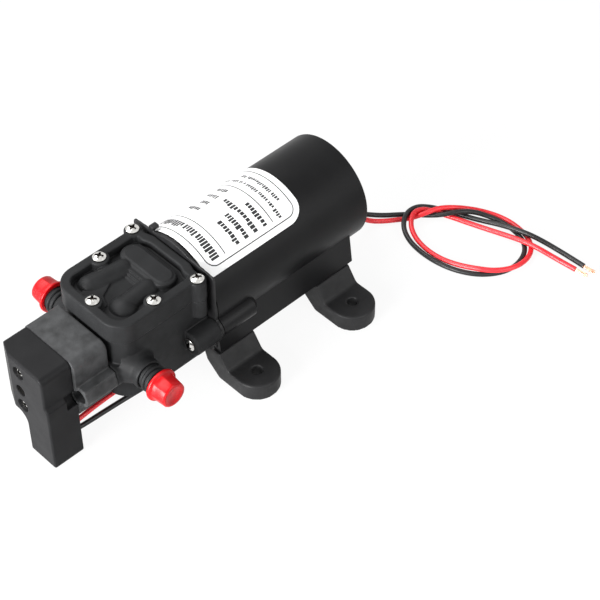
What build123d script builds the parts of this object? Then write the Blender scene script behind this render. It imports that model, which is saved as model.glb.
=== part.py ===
"""A small twelve volt diaphragm pump with a pressure switch, as separate pieces.

Millimetres, +Z up. The origin is the centre of the four mounting holes, on the
plane that the feet stand on. +X points to the rear of the motor, so the pressure
switch is at the -X end, and the motor's shaft lies along X.
"""
import math
import os

from build123d import *

# Clearances
FIT = 0.15            # between two still pieces that nest
RUN = 0.05            # radial, between a shaft and its bearing
SLIP = 0.08           # radial, between a sliding piece and its guide
THREAD = 0.10         # radial, around a screw in its threaded hole

# Motor housing
AXIS_Z = 38.2         # height of the shaft
HOUSING_FRONT_X = -36.3
HOUSING_REAR_X = 48.6
HOUSING_R = 24.05
HOUSING_WALL = 1.75
RIM_ROUND = 1.0
SKIRT_REAR_X = 39.2
SKIRT_TOP_Z = 30.0
SKIRT_TOP_Y = 22.5
SKIRT_BOTTOM_Z = 14.9
SKIRT_BOTTOM_Y = 24.4
KEEL_Y = 11.6
KEEL_DROP = 1.5
CORE_POCKET = (8.4, 6.4, 5.4)      # length, width and depth of a mould core
CORE_POCKETS = 3

# Screws that hold the head to the motor
CASE_SCREW_Y = 22.6
CASE_SCREW_Z = 30.2
CASE_SCREW_R = 1.5
CASE_BOSS_R = 5.0
CASE_BOSS_END_X = -17.0
HEAD_BOSS_FRONT_X = -50.6
HEAD_BOSS_R = 5.6

# Feet
HOLE_SPACING_X = 55.2
HOLE_SPACING_Y = 72.4
FOOT_HOLE_R = 2.3
FOOT_R = 9.8
FOOT_THICK = 7.85
FOOT_LEG_OUT_Y = 29.3
FOOT_SOLE_IN_Y = 23.5
FOOT_TOE_Y = 16.3
FOOT_TOE_Z = 6.0
FOOT_TOP_IN_Y = 13.5
FOOT_ROUND = 2.2
RAIL_Y = 18.5
RAIL_NECK_W = 4.0
RAIL_NECK_H = 2.0
RAIL_HEAD_W = 7.0
RAIL_HEAD_H = 2.4
FOOT_RAIL_INSET = 0.6

# Motor insides
CAN_WALL = 1.4
CAN_FRONT_WALL = 1.8
CAN_REAR_X = 42.0
BEARING_R = 6.5
BEARING_W = 4.4
BEARING_BOSS_R = 8.4
SHAFT_R = 2.5
MAGNET_THICK = 5.0
MAGNET_FRONT_X = -25.0
MAGNET_REAR_X = 25.0
MAGNET_ANGLE = 136.0
AIR_GAP = 0.7
CORE_FRONT_X = -19.0
CORE_REAR_X = 19.0
POLES = 5
POLE_NECK_W = 4.2
POLE_TIP_THICK = 2.0
POLE_SLOT_W = 2.4
CORE_HUB_R = 6.0
WINDING_OVERHANG = 5.5
COMMUTATOR_R = 5.2
COMMUTATOR_FRONT_X = 27.0
COMMUTATOR_REAR_X = 35.6
COMMUTATOR_GROOVE = 0.5
BRUSH_W = 4.0
BRUSH_LEN_X = 5.0
BRUSH_LONG = 7.0
BRUSH_PLATE_X = 38.0
BRUSH_PLATE_THICK = 3.6
REAR_COVER_X = 44.4
REAR_COVER_THICK = 2.2
SHAFT_REAR_X = 42.6
GROMMET_Z = 20.8
GROMMET_R = 3.2
GROMMET_LIP_R = 4.3
GROMMET_END_X = 49.8

# Plate between head and motor
PLATE_THICK = 2.0
PLATE_BOTTOM_Z = 15.4
PLATE_HOLE_R = 9.4
PLATE_TOP_Y = 24.0
PLATE_CROWN_DROP = 1.9       # from the top of the housing down to the crown of the flange
PLATE_CORNER_DROP = 1.2      # from the crown down to the flange's corners
PLATE_CORNER_R = 1.2
PLATE_FLANGE_THICK = 1.0
EAR_Y = (11.8, 14.4)
EAR_HIGH = 1.7
EAR_LENGTH = 3.5
EAR_GAP = 1.0                # from the housing up to the underside of the ear

# Pump head, plan shared by body and cover
HEAD_FRONT_X = -84.0
HEAD_REAR_X = -39.8
HEAD_HALF_Y = 20.3
HEAD_CORNER_R = 9.5
HEAD_BULGE = 1.3
HEAD_BULGE_Y = 12.0
COVER_TOP_Z = 59.2
COVER_BOTTOM_Z = 49.5
COVER_WALL = 2.2
COVER_CEILING_Z = 54.3
COVER_EDGE_ROUND = 0.6
POCKET_FLOOR_Z = 55.7
RIM_WIDTH = 4.2
REAR_STRIP = 3.8
CORNER_BOSS_R = 3.6
CORNER_BOSS_BOTTOM_Z = 40.0
REAR_SCREW_XY = (-42.5, 19.5)
SIDE_SCREW_XY = (-62.25, 16.44)
FRONT_SCREW_X = -79.45
POST_R = 3.3
RIM_POST_R = 4.1
COVER_SCREW_R = 1.25
COVER_SCREW_HEAD_R = 2.8
COVER_SCREW_HEAD_H = 1.5
COVER_SCREW_LONG = 17.0
CHAMBER_X = (-55.8, -44.8)
CHAMBER_Y = (-13.4, 15.0)
CHAMBER_TOP_Z = 59.0
CHAMBER_STEP = 0.5
CHAMBER_STEP_IN = 1.5
LEFT_TUBE = ((-58.0, 7.9), (-72.6, 10.4), 5.1)
RIGHT_TUBE = ((-58.0, -7.0), (-70.6, -8.0), 4.8)
RIGHT_DOME = ((-71.3, -8.4), 7.0)
TUBE_AXIS_Z = 54.1
GALLERY_R = 2.3
BODY_INSET = 0.6
BODY_REAR_X = -38.3
BODY_DECK_Z = 49.3
BODY_BOTTOM_Z = 15.2
BODY_FRONT_BOTTOM_Z = 18.0
BODY_STEP_X = -67.8
BODY_ROUND = 2.0
CRANKCASE_FRONT_X = -69.0
CRANKCASE_Y = 15.0
CRANKCASE_BOTTOM_Z = 19.0
CRANKCASE_TOP_Z = 46.6

# Ports
PORT_X = -75.0
PORT_Z = 33.56
PORT_BOSS_R = 6.5
PORT_BOSS_Y = 26.0
PORT_FLARE_R = 9.0
PORT_SPIGOT_R = 5.25
PORT_BORE_R = 3.0
PORT_SEAT_Y = 19.0
PORT_END_Y = 39.2
PASSAGE_R = 2.5
PASSAGE_Y = 11.0
CAP_FLANGE_Y = 32.4
CAP_FLANGE_R = 7.2
CAP_FLANGE_THICK = 1.5
CAP_ROOT_R = 6.3
CAP_TIP_R = 5.75
CAP_END_Y = 40.9
CAP_BEVEL = 0.9

# Crank, rod and diaphragm
CRANK_X = -57.0
CRANK_THROW = 1.5
CRANK_PIN_R = 3.0
HUB_R = 5.0
HUB_REAR_X = -42.0
GRUB_R = 1.5
HUB_PIN_X = CRANK_X + 3.6
ROD_W = 5.0
ROD_BEARING_R = 5.0
ROD_RING_R = 6.3
ROD_STEM_W = 7.0
SHAFT_FRONT_X = HUB_PIN_X + 1.4
DIAPHRAGM_R = 15.0
DIAPHRAGM_WORK_R = 13.2
DIAPHRAGM_THICK = 1.2
CLAMP_R = 8.0
CLAMP_THICK = 1.4
BUTTON_R = 4.4
BUTTON_THICK = 0.6
CLAMP_NECK_R = 2.4

# Valves
PLATE_RECESS = 2.2
VALVE_XY = (-50.6, 7.2)
VALVE_R = 3.0
VALVE_DISC = 0.6
VALVE_STEM_R = 0.8
VALVE_HEAD_R = 1.3
VALVE_LIFT = 0.8
VALVE_SEAT_GAP = 0.1
VALVE_PORT_R = 0.8
VALVE_PORT_CIRCLE_R = 2.1
SEAL_WIDTH = 1.8

# Pressure switch
SWITCH_Y = 2.0
SWITCH_Z = 34.4
BLOCK_REAR_X = -85.3
BLOCK_FRONT_X = -101.8
BLOCK_HALF_Y = 14.24
BLOCK_TOP_Z = 50.4
BLOCK_BOTTOM_Z = 21.5
BLOCK_ROUND = 3.5
BLOCK_LEFT_Y = 15.4
BLOCK_LEFT_ROUND = 1.2
SENSE_R = 10.0
SENSE_THICK = 0.8
SENSE_WORK_R = 7.6
BLOCK_BOSS_Y = 14.5
BLOCK_BOSS_Z = 32.0
BLOCK_BOSS_R = 5.0
BLOCK_BOSS_FRONT_X = -100.8
BLOCK_BOSS_REAR_X = -79.8
BLOCK_LEDGE_Z = 37.2
BLOCK_LEDGE_Y = 18.4
BLOCK_HOLE_R = 3.4
BLOCK_SCREW_R = 1.5
BLOCK_SCREW_HEAD_X = -88.0
PLUNGER_HEAD_R = 6.0
PLUNGER_HEAD_W = 2.0
PLUNGER_STEM_R = 2.5
PLUNGER_DISC_R = 5.6
PLUNGER_DISC_W = 1.2
PLUNGER_DISC_X = -99.0
PLUNGER_TRAVEL = 1.2
SPRING_R = 2.9
SPRING_WIRE_R = 0.4
SPRING_TURNS = 5
ADJUSTER_SEAT_X = -107.6
ADJUSTER_R = 2.3
ADJUSTER_CUP_R = 3.7
ADJUSTER_FRONT_X = -113.6

# Switch cover
SCOVER_FRONT_X = -116.4
SCOVER_TOP_Z = 50.7
SCOVER_LEFT_Y = 15.5
SCOVER_RIGHT_Y = -12.9
SCOVER_STEP_OUT = 1.5
SCOVER_STEP_Z = (33.4, 35.2)
SCOVER_WALL = 1.6
SCOVER_ROUND = 2.6
SCOVER_SHELF_Z = 20.5
SCOVER_HANG_Y = 1.0
SCOVER_HANG_ROUND = 5.0
SCOVER_BOTTOM_Z = 0.5
SCOVER_CHAMFER = (3.9, 8.0)       # depth in X and width in Y of the left front corner
SCOVER_EDGE_ROUND = 0.9
SCOVER_SCREW_Z = (44.3, 25.6)
SCOVER_SINK_R = 3.0
SCOVER_SINK_DEEP = 2.0
SCOVER_POST_R = 3.8
SCOVER_SCREW_R = 1.25
SCOVER_SCREW_HEAD_R = 2.6
SCOVER_SCREW_HEAD_H = 1.4
SCOVER_SCREW_LONG = 18.0
ADJUST_HOLE_R = 2.6

# Microswitch and its lever
MICRO_Y = (-10.0, -4.2)
MICRO_X = (-111.8, -105.3)
MICRO_Z = (2.6, 18.6)
BUTTON_SIZE = (2.6, 1.4)          # along Y and Z
BUTTON_OUT = 1.2
BUTTON_DEEP = 2.0
BUTTON_Z = 15.6
LEVER_PIVOT_X = -108.0
LEVER_PIVOT_Z = 24.4
LEVER_Y = (-9.6, -2.6)
LEVER_TINE_Y = (-3.7, -2.1)
LEVER_GAP = 0.12
LEVER_PIN_R = 1.0
LEVER_BARREL_R = 1.9
TERMINAL_Z = (5.4, 10.4, 14.4)
TERMINAL_W = 1.6
TERMINAL_THICK = 0.5
TERMINAL_END_X = -102.4
WIRE_SLOT_Z = (3.6, 16.2)

# Label on the motor
LABEL_X = (-36.0, 17.2)
LABEL_ANGLES = (-51.0, 72.0)      # from the top, negative towards -Y
LABEL_THICK = 0.12
LABEL_CORNER_R = 8.0

# Cords
LEAD_R = 1.15
STRANDS_R = 0.75
STRANDS_LONG = 6.5
JUMPER_R = 1.1
WIRE_HOLE_R = 2.6
LEAD_EXIT_Y = 1.75


def box(x0, x1, y0, y1, z0, z1):
    """A box between two corners."""
    return Pos((x0 + x1) / 2, (y0 + y1) / 2, (z0 + z1) / 2) * Box(abs(x1 - x0), abs(y1 - y0), abs(z1 - z0))


def rod_x(r, x0, x1, y=0.0, z=AXIS_Z):
    """A cylinder along X."""
    return Pos((x0 + x1) / 2, y, z) * Rot(0, 90, 0) * Cylinder(r, abs(x1 - x0))


def rod_y(r, y0, y1, x, z):
    """A cylinder along Y."""
    return Pos(x, (y0 + y1) / 2, z) * Rot(90, 0, 0) * Cylinder(r, abs(y1 - y0))


def rod_z(r, z0, z1, x, y):
    """A cylinder along Z."""
    return Pos(x, y, (z0 + z1) / 2) * Cylinder(r, abs(z1 - z0))


def cone_x(r0, r1, x0, x1, y=0.0, z=AXIS_Z):
    """A cone along X, with radius r0 at x0 and r1 at x1, where x0 is below x1."""
    return Pos((x0 + x1) / 2, y, z) * Rot(0, 90, 0) * Cone(r0, r1, x1 - x0)


def cone_y(r0, r1, y0, y1, x, z):
    """A cone along Y, with radius r0 at y0 and r1 at y1, where y0 is below y1."""
    return Pos(x, (y0 + y1) / 2, z) * Rot(-90, 0, 0) * Cone(r0, r1, y1 - y0)


def cone_z(r0, r1, z0, z1, x, y):
    """A cone along Z, with radius r0 at z0 and r1 at z1, where z0 is below z1."""
    return Pos(x, y, (z0 + z1) / 2) * Cone(r0, r1, z1 - z0)


def prism(points, radii, direction, length):
    """A prism over a closed outline in space, with one corner radius for each point."""
    wire = FilletPolyline(*points, radius=radii, close=True)
    return extrude(make_face(wire.edges()), amount=length, dir=direction)


def prism_x(points, x0, x1, radii=None):
    """A prism along X over (y, z) points."""
    outline = [(x0, y, z) for y, z in points]
    return prism(outline, radii or [0.0] * len(points), (1, 0, 0), x1 - x0)


def prism_y(points, y0, y1, radii=None):
    """A prism along Y over (x, z) points."""
    outline = [(x, y0, z) for x, z in points]
    return prism(outline, radii or [0.0] * len(points), (0, 1, 0), y1 - y0)


def prism_z(points, z0, z1, radii=None):
    """A prism along Z over (x, y) points."""
    outline = [(x, y, z0) for x, y in points]
    return prism(outline, radii or [0.0] * len(points), (0, 0, 1), z1 - z0)


def mirror_y(part):
    """The same piece on the other side of the pump."""
    return mirror(part, about=Plane.XZ)


def cross_slot(x, y, z, r, deep):
    """The cutter for a cross recess in a screw head that faces +Z."""
    arm = 0.26 * r
    cut = Pos(x, y, z) * Box(1.3 * r, arm, 2 * deep) + Pos(x, y, z) * Box(arm, 1.3 * r, 2 * deep)
    return cut


def pan_screw(head_r, head_h, shank_r, long):
    """A pan head screw standing on z = 0, head up, with a cross recess."""
    head = Cylinder(head_r, head_h, align=(Align.CENTER, Align.CENTER, Align.MIN))
    head = fillet(head.edges().sort_by(Axis.Z)[-1], 0.62 * head_h)
    shank = Pos(0, 0, -long) * Cylinder(shank_r, long, align=(Align.CENTER, Align.CENTER, Align.MIN))
    return head + shank - cross_slot(0, 0, head_h, head_r, 0.55 * head_h)


def screw_x(head_r, head_h, shank_r, long, x, y, z):
    """A pan head screw whose head faces -X and sits on the plane at x."""
    return Pos(x, y, z) * Rot(0, -90, 0) * pan_screw(head_r, head_h, shank_r, long)


# Motor housing and base

BORE_R = HOUSING_R - HOUSING_WALL
RAIL_TOP_Z = SKIRT_BOTTOM_Z + RAIL_NECK_H + RAIL_HEAD_H
KEEL_Z = SKIRT_BOTTOM_Z - KEEL_DROP
JUMPER_END = ((-13.4, -6.2), (-13.4, -9.8))


def rail(x0, x1, y, grow):
    """The T-shaped rail on a foot, or its slot when it is grown by a clearance."""
    neck = box(x0, x1, y - RAIL_NECK_W / 2 - grow, y + RAIL_NECK_W / 2 + grow,
               SKIRT_BOTTOM_Z - grow, RAIL_TOP_Z - 0.5)
    head = box(x0, x1, y - RAIL_HEAD_W / 2 - grow, y + RAIL_HEAD_W / 2 + grow,
               SKIRT_BOTTOM_Z + RAIL_NECK_H - grow, RAIL_TOP_Z + grow)
    return neck + head


def foot_x_range(end):
    """Where a foot starts and ends along X: end is -1 for the front and 1 for the rear."""
    middle = end * HOLE_SPACING_X / 2
    return middle - FOOT_R, middle + FOOT_R


def motor_housing():
    sleeve = rod_x(HOUSING_R, HOUSING_FRONT_X, HOUSING_REAR_X)
    sleeve = fillet(sleeve.edges().filter_by(GeomType.CIRCLE).sort_by(Axis.X)[-1], RIM_ROUND)
    section = [(-SKIRT_TOP_Y, SKIRT_TOP_Z), (-SKIRT_BOTTOM_Y, SKIRT_BOTTOM_Z),
               (-KEEL_Y - 1, SKIRT_BOTTOM_Z), (-KEEL_Y, KEEL_Z),
               (KEEL_Y, KEEL_Z), (KEEL_Y + 1, SKIRT_BOTTOM_Z),
               (SKIRT_BOTTOM_Y, SKIRT_BOTTOM_Z), (SKIRT_TOP_Y, SKIRT_TOP_Z)]
    skirt = prism_x(section, HOUSING_FRONT_X, SKIRT_REAR_X, [0, 0.8, 0, 0, 0, 0, 0.8, 0])
    shell = sleeve + skirt
    for side in (-1, 1):
        y = side * CASE_SCREW_Y
        taper = 2.0
        shell += rod_x(CASE_BOSS_R, HOUSING_FRONT_X, CASE_BOSS_END_X - taper, y, CASE_SCREW_Z)
        shell += cone_x(CASE_BOSS_R, CASE_BOSS_R - taper, CASE_BOSS_END_X - taper, CASE_BOSS_END_X,
                        y, CASE_SCREW_Z)
    shell -= rod_x(BORE_R, HOUSING_FRONT_X - 1, HOUSING_REAR_X + 1)
    for side in (-1, 1):
        shell -= rod_x(CASE_SCREW_R + THREAD, HOUSING_FRONT_X - 1, CASE_BOSS_END_X - 4,
                       side * CASE_SCREW_Y, CASE_SCREW_Z)
        y = side * RAIL_Y
        shell -= rail(HOUSING_FRONT_X - 1, foot_x_range(-1)[1] + FIT, y, FIT)
        shell -= rail(foot_x_range(1)[0] - FIT, SKIRT_REAR_X + 1, y, FIT)
        long, wide, deep = CORE_POCKET
        for n in range(CORE_POCKETS):
            x = (n - (CORE_POCKETS - 1) / 2) * (long + 1.6)
            shell -= box(x - long / 2, x + long / 2, y - wide / 2, y + wide / 2,
                         SKIRT_BOTTOM_Z - 1, SKIRT_BOTTOM_Z + deep)
    for x, y in JUMPER_END:
        shell -= rod_z(WIRE_HOLE_R, KEEL_Z - 1, AXIS_Z - BORE_R + 3.0, x, y)
    return shell


def foot(end, side):
    """A rubber foot: end is -1 at the front and 1 at the rear, side is -1 for -Y."""
    x0, x1 = foot_x_range(end)
    hole_x = end * HOLE_SPACING_X / 2
    hole_y = HOLE_SPACING_Y / 2
    top_z = SKIRT_BOTTOM_Z - FIT
    section = [(SKIRT_BOTTOM_Y, top_z), (FOOT_LEG_OUT_Y, FOOT_THICK), (hole_y + FOOT_R, FOOT_THICK),
               (hole_y + FOOT_R, 0.0), (FOOT_SOLE_IN_Y, 0.0), (FOOT_TOE_Y, FOOT_TOE_Z),
               (FOOT_TOP_IN_Y, top_z)]
    body = prism(
        [(x0, y, z) for y, z in section],
        [0, FOOT_ROUND, 0, 0, 1.5, 1.5, 0], (1, 0, 0), x1 - x0)
    plan = rod_z(FOOT_R, -1, SKIRT_TOP_Z, hole_x, hole_y) + box(x0, x1, 0, hole_y, -1, SKIRT_TOP_Z)
    body = body & plan
    tab_top = body.edges().filter_by(GeomType.CIRCLE).filter_by(
        lambda e: abs(e.center().Z - FOOT_THICK) < 0.01 and e.radius > FOOT_R - 0.1)
    body = fillet(tab_top, 0.8)
    rail_x = (x0 + FOOT_RAIL_INSET, x1 - FOOT_RAIL_INSET)
    body += rail(*rail_x, RAIL_Y, 0.0)
    body += box(*rail_x, RAIL_Y - RAIL_NECK_W / 2, RAIL_Y + RAIL_NECK_W / 2, top_z - 1, SKIRT_BOTTOM_Z + 1)
    body -= rod_z(FOOT_HOLE_R, -1, FOOT_THICK + 1, hole_x, hole_y)
    return body if side > 0 else mirror_y(body)


# Motor insides

CAN_R = BORE_R - FIT
CAN_IN_R = CAN_R - CAN_WALL
CAN_FRONT_X = HOUSING_FRONT_X + 0.3
MAGNET_OUT_R = CAN_IN_R - FIT
MAGNET_IN_R = MAGNET_OUT_R - MAGNET_THICK
CORE_R = MAGNET_IN_R - AIR_GAP
FRONT_BEARING_X = CAN_FRONT_X + 0.2
REAR_BEARING_X = BRUSH_PLATE_X - 0.2


def motor_can():
    can = rod_x(CAN_R, CAN_FRONT_X, CAN_REAR_X)
    can -= rod_x(CAN_IN_R, CAN_FRONT_X + CAN_FRONT_WALL, CAN_REAR_X + 1)
    can += rod_x(BEARING_BOSS_R, CAN_FRONT_X, FRONT_BEARING_X + BEARING_W + 0.6)
    can -= rod_x(BEARING_R + RUN, CAN_FRONT_X - 1, FRONT_BEARING_X + BEARING_W)
    can -= rod_x(BEARING_R - 1.6, CAN_FRONT_X - 1, FRONT_BEARING_X + BEARING_W + 1)
    return can


def magnets():
    ring = rod_x(MAGNET_OUT_R, MAGNET_FRONT_X, MAGNET_REAR_X)
    ring -= rod_x(MAGNET_IN_R, MAGNET_FRONT_X - 1, MAGNET_REAR_X + 1)
    half = math.radians((180.0 - MAGNET_ANGLE) / 2)
    reach = 2 * MAGNET_OUT_R
    dy, dz = reach * math.cos(half), reach * math.sin(half)
    wedge = [(0, AXIS_Z), (dy, AXIS_Z + dz), (dy, AXIS_Z - dz)]
    gap = prism_x(wedge, MAGNET_FRONT_X - 1, MAGNET_REAR_X + 1)
    return ring - gap - mirror_y(gap)


def bearing(x):
    ring = rod_x(BEARING_R, x, x + BEARING_W) - rod_x(SHAFT_R + RUN, x - 1, x + BEARING_W + 1)
    groove = rod_x(BEARING_R - 1.2, x - 1, x + 0.3) - rod_x(SHAFT_R + 1.2, x - 2, x + 1)
    return ring - groove


def motor_shaft():
    return rod_x(SHAFT_R, SHAFT_FRONT_X, SHAFT_REAR_X)


def armature_core():
    core = rod_x(CORE_R, CORE_FRONT_X, CORE_REAR_X)
    neck_in, neck_out = CORE_HUB_R, CORE_R - POLE_TIP_THICK
    window = rod_x(neck_out, CORE_FRONT_X - 1, CORE_REAR_X + 1)
    window -= rod_x(neck_in, CORE_FRONT_X - 2, CORE_REAR_X + 2)
    for n in range(POLES):
        turn = Pos(0, 0, AXIS_Z) * Rot(360.0 / POLES * n, 0, 0) * Pos(0, 0, -AXIS_Z)
        window -= turn * box(CORE_FRONT_X - 3, CORE_REAR_X + 3, -POLE_NECK_W / 2, POLE_NECK_W / 2,
                             AXIS_Z, AXIS_Z + CORE_R)
    core -= window
    for n in range(POLES):
        turn = Pos(0, 0, AXIS_Z) * Rot(360.0 / POLES * (n + 0.5), 0, 0) * Pos(0, 0, -AXIS_Z)
        core -= turn * box(CORE_FRONT_X - 1, CORE_REAR_X + 1, -POLE_SLOT_W / 2, POLE_SLOT_W / 2,
                           AXIS_Z + CORE_HUB_R + 0.5, AXIS_Z + CORE_R + 1)
    return core - rod_x(SHAFT_R + RUN, CORE_FRONT_X - 1, CORE_REAR_X + 1)


def armature_windings():
    inner, outer = CORE_HUB_R + FIT, CORE_R - POLE_TIP_THICK - FIT
    x0, x1 = CORE_FRONT_X - WINDING_OVERHANG, CORE_REAR_X + WINDING_OVERHANG
    coil = rod_x(outer, x0, x1) - rod_x(inner, x0 - 1, x1 + 1)
    for n in range(POLES):
        turn = Pos(0, 0, AXIS_Z) * Rot(360.0 / POLES * n, 0, 0) * Pos(0, 0, -AXIS_Z)
        coil -= turn * box(CORE_FRONT_X - FIT, CORE_REAR_X + FIT, -POLE_NECK_W / 2 - FIT,
                           POLE_NECK_W / 2 + FIT, AXIS_Z, AXIS_Z + CORE_R)
    return coil


def commutator():
    drum = rod_x(COMMUTATOR_R, COMMUTATOR_FRONT_X, COMMUTATOR_REAR_X)
    for n in range(POLES):
        turn = Pos(0, 0, AXIS_Z) * Rot(360.0 / POLES * (n + 0.5), 0, 0) * Pos(0, 0, -AXIS_Z)
        drum -= turn * box(COMMUTATOR_FRONT_X - 1, COMMUTATOR_REAR_X + 1, -COMMUTATOR_GROOVE / 2,
                           COMMUTATOR_GROOVE / 2, AXIS_Z + COMMUTATOR_R - 1.2, AXIS_Z + COMMUTATOR_R + 1)
    return drum - rod_x(SHAFT_R + RUN, COMMUTATOR_FRONT_X - 1, COMMUTATOR_REAR_X + 1)


BRUSH_X = (COMMUTATOR_FRONT_X + COMMUTATOR_REAR_X) / 2
BRUSH_IN_Y = COMMUTATOR_R + FIT
BRUSH_OUT_Y = BRUSH_IN_Y + BRUSH_LONG


def brushes():
    pair = box(BRUSH_X - BRUSH_LEN_X / 2, BRUSH_X + BRUSH_LEN_X / 2, 0, BRUSH_OUT_Y,
               AXIS_Z - BRUSH_W / 2, AXIS_Z + BRUSH_W / 2)
    pair -= rod_x(BRUSH_IN_Y, BRUSH_X - BRUSH_LEN_X, BRUSH_X + BRUSH_LEN_X)
    return pair, mirror_y(pair)


def brush_springs():
    """Bent leaf springs that press on the outer ends of the brushes."""
    y = BRUSH_OUT_Y + FIT
    strip = 0.5
    line = [(y, AXIS_Z - 1.5), (y, AXIS_Z + 3.0), (y + 2.6, AXIS_Z + 5.2), (y + 2.6, AXIS_Z + 8.0),
            (y + 2.6 + strip, AXIS_Z + 8.0), (y + 2.6 + strip, AXIS_Z + 5.0), (y + strip, AXIS_Z + 2.8),
            (y + strip, AXIS_Z - 1.5)]
    spring = prism_x(line, BRUSH_X - 1.6, BRUSH_PLATE_X - FIT)
    return spring, mirror_y(spring)


def brush_plate():
    plate = rod_x(CAN_IN_R - FIT, BRUSH_PLATE_X, BRUSH_PLATE_X + BRUSH_PLATE_THICK)
    plate += rod_x(BEARING_BOSS_R, BRUSH_PLATE_X, REAR_BEARING_X + BEARING_W + 1.4)
    for side in (-1, 1):
        y = side * (BRUSH_IN_Y + BRUSH_OUT_Y + 1.5) / 2
        half_y = (BRUSH_LONG - 1.5) / 2
        guide = box(BRUSH_X - BRUSH_LEN_X / 2 - 1.2, BRUSH_PLATE_X + 1, y - half_y, y + half_y,
                    AXIS_Z - BRUSH_W / 2 - 1.2, AXIS_Z + BRUSH_W / 2 + 1.2)
        guide -= box(BRUSH_X - BRUSH_LEN_X / 2 - SLIP, BRUSH_X + BRUSH_LEN_X / 2 + SLIP, y - 9, y + 9,
                     AXIS_Z - BRUSH_W / 2 - SLIP, AXIS_Z + BRUSH_W / 2 + SLIP)
        plate += guide
    plate -= rod_x(BEARING_R + RUN, BRUSH_PLATE_X - 1, REAR_BEARING_X + BEARING_W)
    plate -= rod_x(BEARING_R - 1.6, BRUSH_PLATE_X - 1, REAR_BEARING_X + BEARING_W + 2)
    plate -= rod_x(SHAFT_R + 1.5, BRUSH_PLATE_X - 12, BRUSH_PLATE_X + 1)
    return plate


def motor_rear_cover():
    cover = rod_x(BORE_R - FIT, REAR_COVER_X, REAR_COVER_X + REAR_COVER_THICK)
    rim = rod_x(BORE_R - FIT, CAN_REAR_X + FIT, REAR_COVER_X + 1)
    cover += rim - rod_x(BORE_R - 2.2, CAN_REAR_X, REAR_COVER_X)
    cover += rod_x(BEARING_R + 2.0, REAR_COVER_X, REAR_COVER_X + REAR_COVER_THICK + 1.2)
    cover -= rod_x(GROMMET_R + FIT, REAR_COVER_X - 2, REAR_COVER_X + 6, 0, GROMMET_Z)
    return cover


def lead_grommet():
    """A rubber plug in the rear cover. The two leads leave its outer face."""
    plug = rod_x(GROMMET_R, REAR_COVER_X - 1.2, REAR_COVER_X + REAR_COVER_THICK + 0.5, 0, GROMMET_Z)
    lip_x = REAR_COVER_X + REAR_COVER_THICK + FIT
    lip = rod_x(GROMMET_LIP_R, lip_x, lip_x + 1.2, 0, GROMMET_Z)
    nose = cone_x(GROMMET_LIP_R - 0.6, LEAD_R + LEAD_EXIT_Y + 0.2, lip_x + 1.0, GROMMET_END_X, 0, GROMMET_Z)
    return plug + lip + nose


# Pump head

PLATE_FRONT_X = HOUSING_FRONT_X - PLATE_THICK
DIAPHRAGM_SEAT_Z = BODY_DECK_Z - DIAPHRAGM_THICK
VALVE_PLATE_TOP_Z = COVER_CEILING_Z - 1.0
VALVE_PLATE_BOTTOM_Z = BODY_DECK_Z + FIT
CHAMBER_ROOF_Z = BODY_DECK_Z + PLATE_RECESS


def side_points(x, y):
    return ((x, y), (x, -y))


def cover_screw_points():
    return side_points(*REAR_SCREW_XY) + side_points(*SIDE_SCREW_XY) + ((FRONT_SCREW_X, 0.0),)


def head_plan(z0, z1, inset, strip=0.0):
    """A prism over the plan of the pump head, drawn in by inset, and by strip more at the rear."""
    front, rear = HEAD_FRONT_X + inset, HEAD_REAR_X - inset - strip
    half, bulge = HEAD_HALF_Y - inset, HEAD_BULGE_Y - inset / 2
    corner = HEAD_CORNER_R - inset
    points = [(front, -half), (rear, -half), (rear, -bulge - 2.5), (rear + HEAD_BULGE, -bulge + 1.0),
              (rear + HEAD_BULGE, bulge - 1.0), (rear, bulge + 2.5), (rear, half), (front, half)]
    return prism_z(points, z0, z1, [corner, 1.0, 2.0, 3.0, 3.0, 2.0, 1.0, corner])


def backing_plate():
    """A plate with a thin upper flange that reaches out behind the head's rear screws."""
    x0, x1 = PLATE_FRONT_X + FIT, HOUSING_FRONT_X - FIT
    plate = rod_x(HOUSING_R, x0, x1)
    plate -= box(x0 - 1, x1 + 1, -40, 40, 0, PLATE_BOTTOM_Z)
    y, shoulder_y = PLATE_TOP_Y, 0.45 * PLATE_TOP_Y
    crown_z = AXIS_Z + HOUSING_R - PLATE_CROWN_DROP
    corner_z = crown_z - PLATE_CORNER_DROP
    upper = [(-y, AXIS_Z), (y, AXIS_Z), (y, corner_z), (shoulder_y, crown_z),
             (-shoulder_y, crown_z), (-y, corner_z)]
    plate += prism_x(upper, x0, x0 + PLATE_FLANGE_THICK, [0, 0, PLATE_CORNER_R, 12.0, 12.0, PLATE_CORNER_R])
    ear_z = AXIS_Z + math.sqrt(HOUSING_R ** 2 - EAR_Y[0] ** 2) + EAR_GAP
    plate += box(x0, x0 + EAR_LENGTH, EAR_Y[0], EAR_Y[1], ear_z, ear_z + EAR_HIGH)
    for side in (-1, 1):
        y = side * CASE_SCREW_Y
        plate += rod_x(CASE_BOSS_R, PLATE_FRONT_X + FIT, HOUSING_FRONT_X - FIT, y, CASE_SCREW_Z)
        plate -= rod_x(CASE_SCREW_R + THREAD, PLATE_FRONT_X - 1, HOUSING_FRONT_X + 1, y, CASE_SCREW_Z)
    return plate - rod_x(PLATE_HOLE_R, PLATE_FRONT_X - 1, HOUSING_FRONT_X + 1)


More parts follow.
